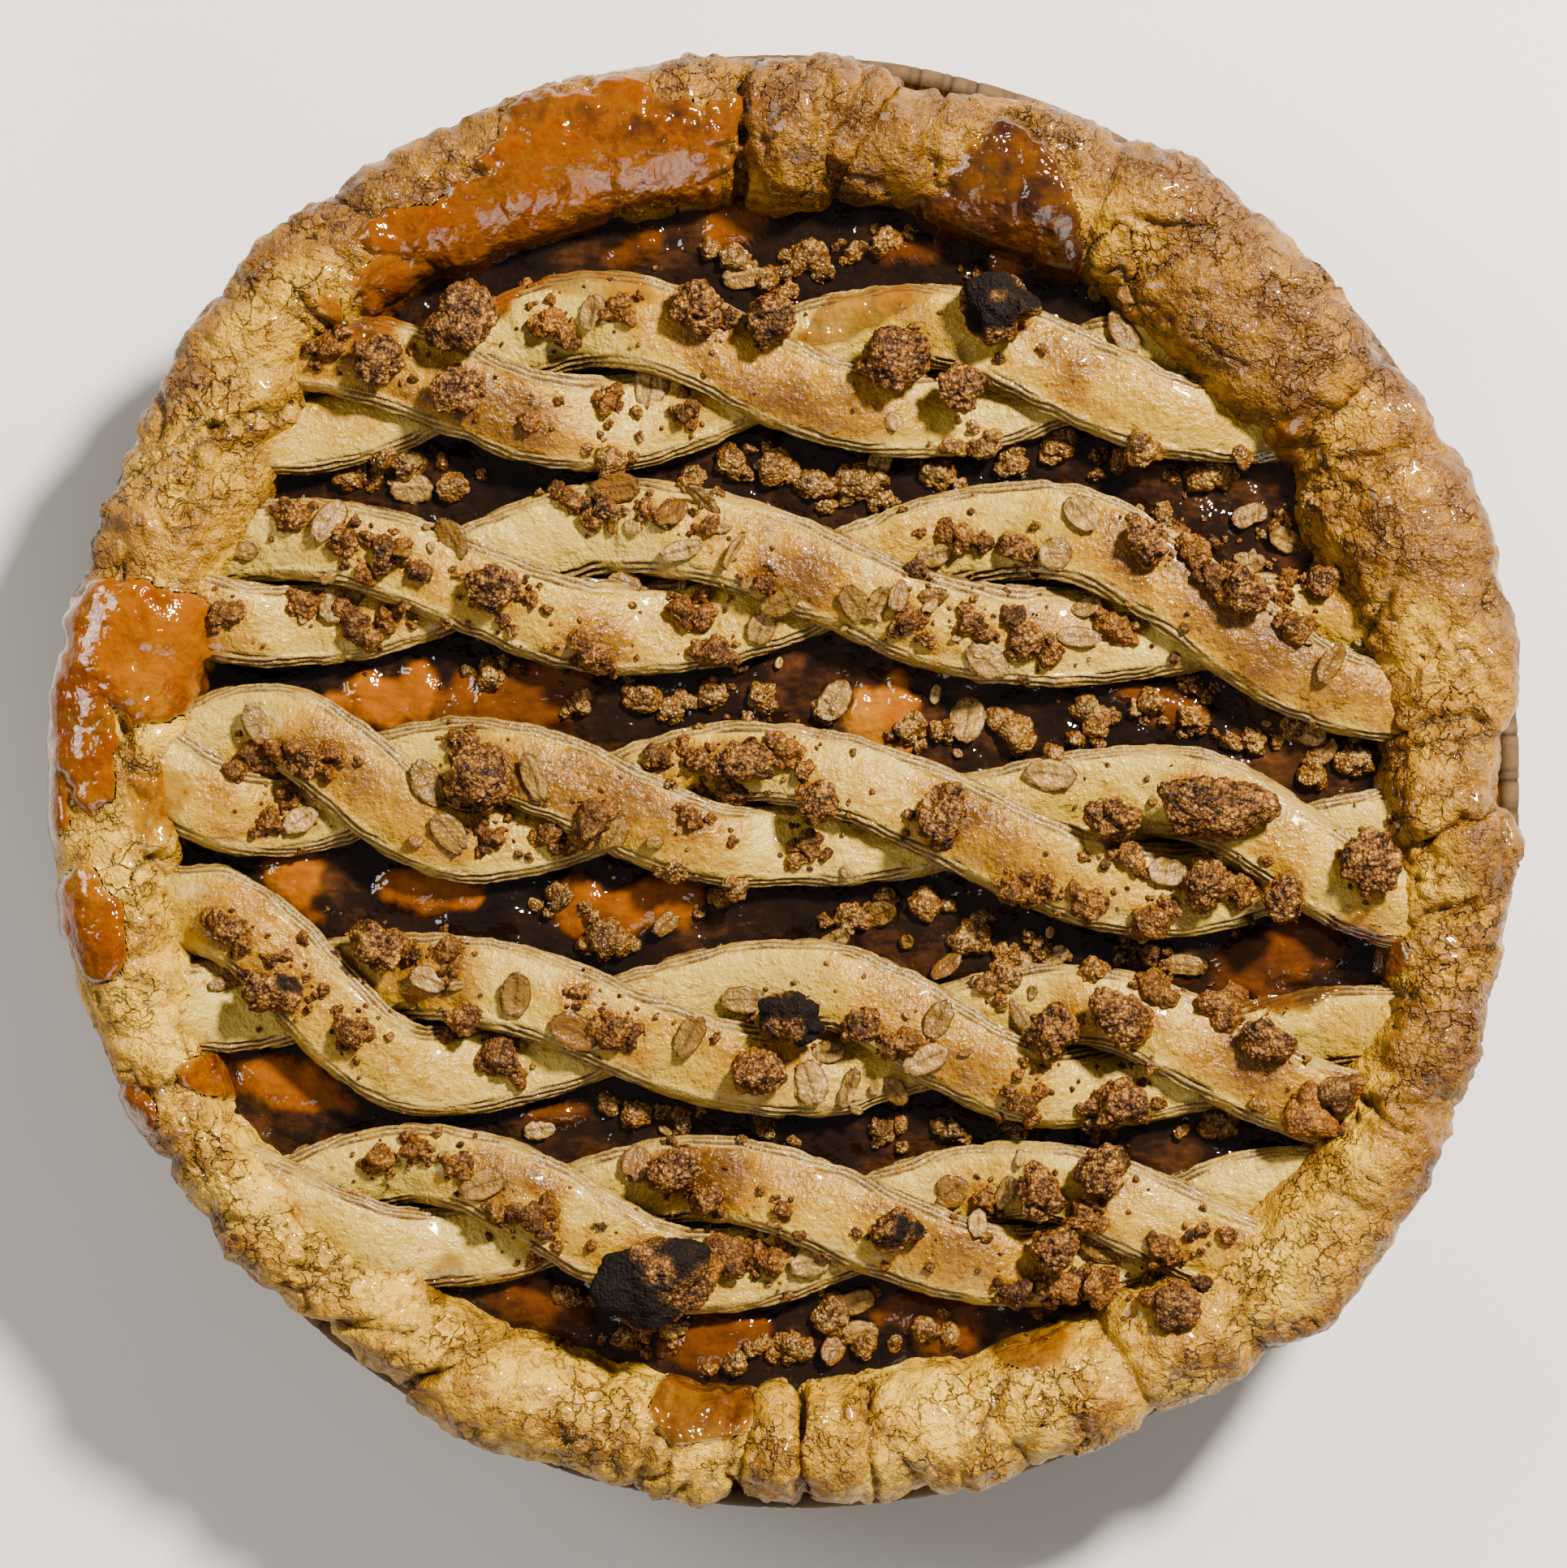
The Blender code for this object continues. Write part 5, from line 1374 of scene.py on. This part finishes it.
class PIE_OT_strips(bpy.types.Operator):
    """Make the ten twisted pastry strips with their layered sides"""

    bl_idname = "pie.strips"
    bl_label = "Twisted strips"

    def execute(self, context):
        material = pastry_finish("strip_pastry_layers", context.scene.pie, True)
        made_pieces["strips"] = []
        for row, strand in itertools.product(range(len(ROWS)), (0, 1)):
            made_pieces["strips"].append(self.strip(row, strand, material))
        return {"FINISHED"}

    def strip(self, row, strand, material):
        turns = ROWS[row]
        limit = made_pieces["limit"]
        seed = 100 + 10 * row + 5 * strand
        section = strip_section()
        tries = (-1.0, -0.5, 0.0, 0.5, 1.0)
        left = [strip_reach(turns, strand, across, -1, limit) for across in tries]
        right = [strip_reach(turns, strand, across, 1, limit) for across in tries]
        steps = int((max(right) - min(left)) / STRIP_PITCH)
        share = np.linspace(0, 1, steps)
        lines = []
        high = None
        for across, height, _, _ in section:
            start = np.interp(across, tries, left)
            end = np.interp(across, tries, right)
            line, high = strip_points(turns, strand, lerp(start, end, share), across, height)
            lines.append(line)
        skin = np.array(lines)
        normals = grid_normals(skin.transpose(1, 0, 2)).transpose(1, 0, 2)
        if normals[STRIP_TOP_ROWS // 2, :, 2].mean() < 0:
            normals = -normals
        flat = skin.reshape(-1, 3)
        normal = normals.reshape(-1, 3)
        side = np.repeat(section[:, 2], steps)
        across = np.repeat(section[:, 0], steps)
        down = np.repeat(section[:, 3], steps)
        lengthwise = flat * np.array([0.3, 0.3, 0.01])
        ragged = 0.4 * mottle(lengthwise, 1.0, seed) * smooth((np.abs(across) - 0.6) / 0.3)
        wave = down * STRIP_LAYERS + 0.9 * mottle(flat * np.array([1.0, 1.0, 0.2]), 9.0, seed + 1)
        wave += 0.25 * mottle(flat, 3.0, seed + 7)
        groove = 0.5 + 0.5 * np.cos(math.tau * wave)
        groove = groove**2 * smooth(0.75 + 0.9 * mottle(flat * np.array([1.0, 1.0, 0.1]), 5.0, seed + 9))
        layers = (0.2 - 0.6 * groove + 0.14 * mottle(flat, 0.8, seed + 8)) * side
        blisters = np.clip(0.42 - grains(flat, 3.4, seed + 10), 0.0, 1.0)
        blisters *= smooth(mottle(flat, 11.0, seed + 11) * 3)
        skin_out = 0.4 * mottle(flat, 9.0, seed + 2) + 0.2 * mottle(flat, 2.8, seed + 3) + 1.1 * blisters
        out = ragged + layers + skin_out * (1 - side) + 0.08 * mottle(flat, 1.1, seed + 4)
        thick, orange = pool_masks(flat[:, 0], flat[:, 1])
        thick = thick * smooth((normal[:, 2] - 0.1) / 0.4)
        flat = flat + normal * (out + 0.3 * thick)[:, None]
        lifted = np.tile(high, len(section))
        baked = 0.31 + 0.28 * lifted
        baked += 0.44 * mottle(flat, 15.0, seed + 5) + 0.2 * mottle(flat, 5.0, seed + 6)
        baked += 0.25 * skin_out + 0.42 * crumble_stains(flat)
        baked -= 0.2 * smooth((np.abs(across) - 0.45) / 0.25)
        # On the layered sides and underside, red is mostly painted shade: darker in the grooves between
        # layers and further down.
        baked = lerp(baked, 0.8 * groove + 0.2 * down + 0.12 * mottle(flat, 4.0, seed + 12), side)
        masks = np.stack([baked, np.minimum(thick * 1.6, 1.0), side, orange], axis=1)
        faces = grid_faces(len(section), steps, closed_rows=True, closed_columns=False)
        faces.append([k * steps for k in range(len(section))])
        faces.append([k * steps + steps - 1 for k in reversed(range(len(section)))])
        name = f"{row + 1}{'ab'[strand]}"
        replaced = [f"strip_{name}"]
        return make_piece(f"dough_strip_{name}", flat, faces, material, replaced, masks)


class PIE_OT_large_crumble(bpy.types.Operator):
    """Make the large lumps of crumble, one for each solid"""

    bl_idname = "pie.large_crumble"
    bl_label = "Large crumble"

    def execute(self, context):
        material = crumble_finish("baked_crumble", context.scene.pie, False)
        names = sorted(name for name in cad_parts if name.startswith("crumble"))
        for number, name in enumerate(names):
            low, high = (np.array(corner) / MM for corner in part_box(name))
            size = (high - low) * np.array([1.05, 1.05, 1.2])
            points, depth, faces = crumble_lump(size, LUMP_DETAIL, 200 + number, grain=0.9, craggy=0.5)
            points = points + (low + high) / 2 - np.array([0, 0, 0.4])
            burnt = BURNT.get(name, 0.0)
            upper = smooth((points[:, 2] - low[2]) / (high[2] - low[2]) * 1.4 - 0.4)
            spot = mottle(points, 3.6, 210) * 0.9 + upper * 0.7 + burnt * 1.25 - 1.25
            char = np.clip(smooth(spot / 0.55) * (0.25 + burnt), 0.0, 0.96)
            orange = smooth((0.28 - upper) / 0.4) * 0.55
            masks = np.stack([char, depth, orange], axis=1)
            make_piece(f"lump_{name[-2:]}", points, faces.tolist(), material, [name], masks)
        return {"FINISHED"}


class PIE_OT_small_crumble(bpy.types.Operator):
    """Scatter the small crumble and loose crumbs over the strips and the syrup"""

    bl_idname = "pie.small_crumble"
    bl_label = "Small crumble"

    def execute(self, context):
        settings = context.scene.pie
        draw = random.Random(SEED + 3)
        ground = Ground(made_pieces["filling"], made_pieces["crust"], *made_pieces["strips"])
        heap = Heap()
        for number, (x, y, width) in enumerate(SMALL_CRUMBLE):
            detail = 4 if width > 3.2 else 3
            self.crumb(heap, ground, draw, x, y, width * CRUMB_SHARE, 300 + number * 3, detail)
            for part in range(3 if width > 4.5 else 0):
                at_x = x + draw.choice((-1, 1)) * draw.uniform(0.25, 0.5) * width
                at_y = y + draw.uniform(-0.45, 0.45) * width
                size = width * draw.uniform(0.35, 0.6)
                self.crumb(heap, ground, draw, at_x, at_y, size, 1301 + number * 3 + part, 3)
        material = crumble_finish("small_baked_crumble", settings, False)
        heap.make("small_crumble", material)
        crumbs = Heap()
        self.loose(crumbs, ground, draw, settings.crumb_scatter)
        crumbs.make("loose_crumbs", material)
        soaked = Heap()
        for number, (x, y, width) in enumerate(SOAKED_CRUMBLE):
            for part, spread in enumerate((0.15, 0.4, 0.6, 0.8, 0.8)):
                at_x = x + draw.uniform(-spread, spread) * width
                at_y = y + draw.uniform(-spread, spread) * width * 0.6
                size = width * draw.uniform(0.7, 0.95) * (1 - 0.7 * spread)
                seed = 700 + number * 5 + part
                detail = 3 if part else 4
                self.crumb(soaked, ground, draw, at_x, at_y, size, seed, detail, sunk=0.2, craggy=0.4)
        wet = crumble_finish("syrup_soaked_crumble", settings, True)
        soaked.make("soaked_crumble", wet)
        return {"FINISHED"}

    def crumb(self, heap, ground, draw, x, y, size, seed, detail, sunk=0.1, craggy=0.65):
        """One crumb about size millimetres wide, on the ground and a share sunk in it."""
        sizes = (size, size * draw.uniform(0.75, 1.1), size * draw.uniform(0.6, 0.85))
        grain = min(0.85, size * 0.28)
        points, depth, faces = crumble_lump(sizes, detail, seed, grain, craggy)
        points = rotated(points, draw.uniform(0, 360), draw.uniform(0, 20), draw.uniform(0, 360))
        z = ground.under(x, y)[0]
        points = points + np.array([x, y, z + size * (0.28 - sunk)])
        char = np.full(len(points), 0.5 * max(0.0, draw.uniform(-1.2, 1.0)))
        upper = smooth((points[:, 2] - z) / (size * 0.5))
        orange = (1 - upper) * 0.4 + draw.uniform(0.0, 0.22)
        heap.add(points, faces, np.stack([char * upper, depth, orange], axis=1))

    def loose(self, heap, ground, draw, share):
        """Crumbs from half a millimetre to two, thickest near the larger ones."""
        homes = crumble_homes()
        for number in range(int(LOOSE_CRUMBS * share)):
            x, y, width = homes[draw.randrange(len(homes))]
            angle = draw.uniform(0, math.tau)
            away = width * 0.45 + abs(draw.gauss(0, 1)) * 3.2
            at_x = x + math.cos(angle) * away
            at_y = y + math.sin(angle) * away
            if math.hypot(at_x, at_y) > LOOSE_REACH:
                continue
            size = draw.uniform(0.5, 1.1) if draw.random() < 0.7 else draw.uniform(1.1, 2.2)
            self.crumb(heap, ground, draw, at_x, at_y, size, 5000 + number, 2 if size < 1.5 else 3)


class PIE_OT_oats(bpy.types.Operator):
    """Scatter the rolled oats and their broken flakes"""

    bl_idname = "pie.oats"
    bl_label = "Rolled oats"

    def execute(self, context):
        draw = random.Random(SEED + 4)
        ground = Ground(made_pieces["filling"], made_pieces["crust"], *made_pieces["strips"])
        heap = Heap()
        for x, y, length, width, turn, tilt in OATS:
            self.flake(heap, ground, draw, x, y, length, width, turn, tilt)
        for _ in range(BROKEN_OATS):
            x, y, *_ = OATS[draw.randrange(len(OATS))]
            at_x = x + draw.uniform(-7, 7)
            at_y = y + draw.uniform(-7, 7)
            length = draw.uniform(1.6, 4.0)
            if math.hypot(at_x, at_y) < BROKEN_OAT_REACH:
                width = length * draw.uniform(0.5, 0.9)
                turn, tilt = draw.uniform(0, 180), draw.uniform(0, 30)
                self.flake(heap, ground, draw, at_x, at_y, length, width, turn, tilt)
        heap.make("rolled_oats", oat_finish(context.scene.pie))
        return {"FINISHED"}

    def flake(self, heap, ground, draw, x, y, length, width, turn, tilt):
        """One flake of rolled oat, leaning a little with the ground."""
        length, width = length * OAT_LENGTH_SHARE, width * OAT_WIDTH_SHARE
        points, faces = oat_flake(length, width, draw)
        near_groove = np.exp(-((points[:, 1] / 0.3) ** 2)) * (length > 5)
        rim = (points[:, 0] / (length / 2)) ** 2 + (points[:, 1] / (width / 2)) ** 2
        # Painted shade: strongest along the groove and at the rim.
        groove_and_rim_shade = np.maximum(0.7 * near_groove * (rim < 0.7), 0.9 * smooth((rim - 0.66) / 0.25))
        top, normal = ground.under(x, y)
        steep = math.degrees(math.acos(max(-1.0, min(1.0, normal.z)))) * 0.6
        points = rotated(points, turn, tilt, draw.uniform(0, 360))
        lift = abs(math.sin(math.radians(tilt))) * width * 0.35
        points = rotated(points, 0, min(steep, 15), math.degrees(math.atan2(normal.y, normal.x)) + 90)
        points = points + np.array([x, y, top + 0.5 + lift])
        toasted = np.full(len(points), draw.uniform(0.0, 0.9) ** 2)
        heap.add(points, faces, np.stack([toasted, groove_and_rim_shade, 0 * toasted], axis=1))


class PIE_OT_stage(bpy.types.Operator):
    """Make the plain floor, the soft lights and the camera"""

    bl_idname = "pie.stage"
    bl_label = "Stage"

    def execute(self, context):
        bpy.ops.mesh.primitive_plane_add(size=FLOOR_WIDTH, location=(0, 0, 0))
        floor = context.object
        floor.name = "floor"
        look = Finish("pale_floor", 0.9, specular=0.1)
        look.colour(look.ramp(look.noise(60.0, 2.0), *zip((0.0, 1.0), FLOOR_SHADES)))
        floor.data.materials.append(look.material)
        world = bpy.data.worlds.new("studio")
        context.scene.world = world
        world.use_nodes = True
        room = world.node_tree.nodes["Background"]
        room.inputs["Color"].default_value = ROOM_COLOUR
        room.inputs["Strength"].default_value = ROOM_LIGHT
        context.scene.view_settings.look = "AgX - Medium High Contrast"
        for light in LIGHTS:
            self.light(*light)
        data = bpy.data.cameras.new("camera")
        data.sensor_width = SENSOR
        data.lens = SENSOR * (CAMERA_HEIGHT - VIEWED_HEIGHT) / VIEW_WIDTH
        data.clip_start = 0.05
        camera = bpy.data.objects.new("camera", data)
        camera.location = (VIEW_MIDDLE[0] * MM, VIEW_MIDDLE[1] * MM, CAMERA_HEIGHT * MM)
        context.scene.collection.objects.link(camera)
        context.scene.camera = camera
        return {"FINISHED"}

    def light(self, name, place, size, watts, colour):
        """One soft round light, aimed at the pie."""
        data = bpy.data.lights.new(name, "AREA")
        data.shape = "DISK"
        data.size = size
        data.energy = watts
        data.color = colour
        made = bpy.data.objects.new(name, data)
        made.location = place
        made.rotation_euler = (-Vector(place)).to_track_quat("-Z", "Y").to_euler()
        bpy.context.scene.collection.objects.link(made)


class PIE_PT_panel(bpy.types.Panel):
    """Buttons for each group of pieces"""

    bl_idname = "PIE_PT_panel"
    bl_label = "Peach Pie"
    bl_space_type = "VIEW_3D"
    bl_region_type = "UI"
    bl_category = "Pie"

    def draw(self, context):
        settings = context.scene.pie
        for name in settings.bl_rna.properties.keys():
            if name not in {"rna_type", "name"}:
                self.layout.prop(settings, name)
        for operator in OPERATORS:
            self.layout.operator(operator.bl_idname)


OPERATORS = (
    PIE_OT_paper_pan, PIE_OT_crust, PIE_OT_filling, PIE_OT_strips, PIE_OT_large_crumble,
    PIE_OT_small_crumble, PIE_OT_oats, PIE_OT_stage,
)


def register():
    for kind in (PieSettings, *OPERATORS, PIE_PT_panel):
        bpy.utils.register_class(kind)
    bpy.types.Scene.pie = PointerProperty(type=PieSettings)


def unregister():
    del bpy.types.Scene.pie
    for kind in reversed((PieSettings, *OPERATORS, PIE_PT_panel)):
        bpy.utils.unregister_class(kind)


def main():
    register()
    bpy.ops.pie.paper_pan()
    bpy.ops.pie.crust()
    bpy.ops.pie.filling()
    bpy.ops.pie.strips()
    bpy.ops.pie.large_crumble()
    bpy.ops.pie.small_crumble()
    bpy.ops.pie.oats()
    bpy.ops.pie.stage()


if __name__ == "__main__":
    main()
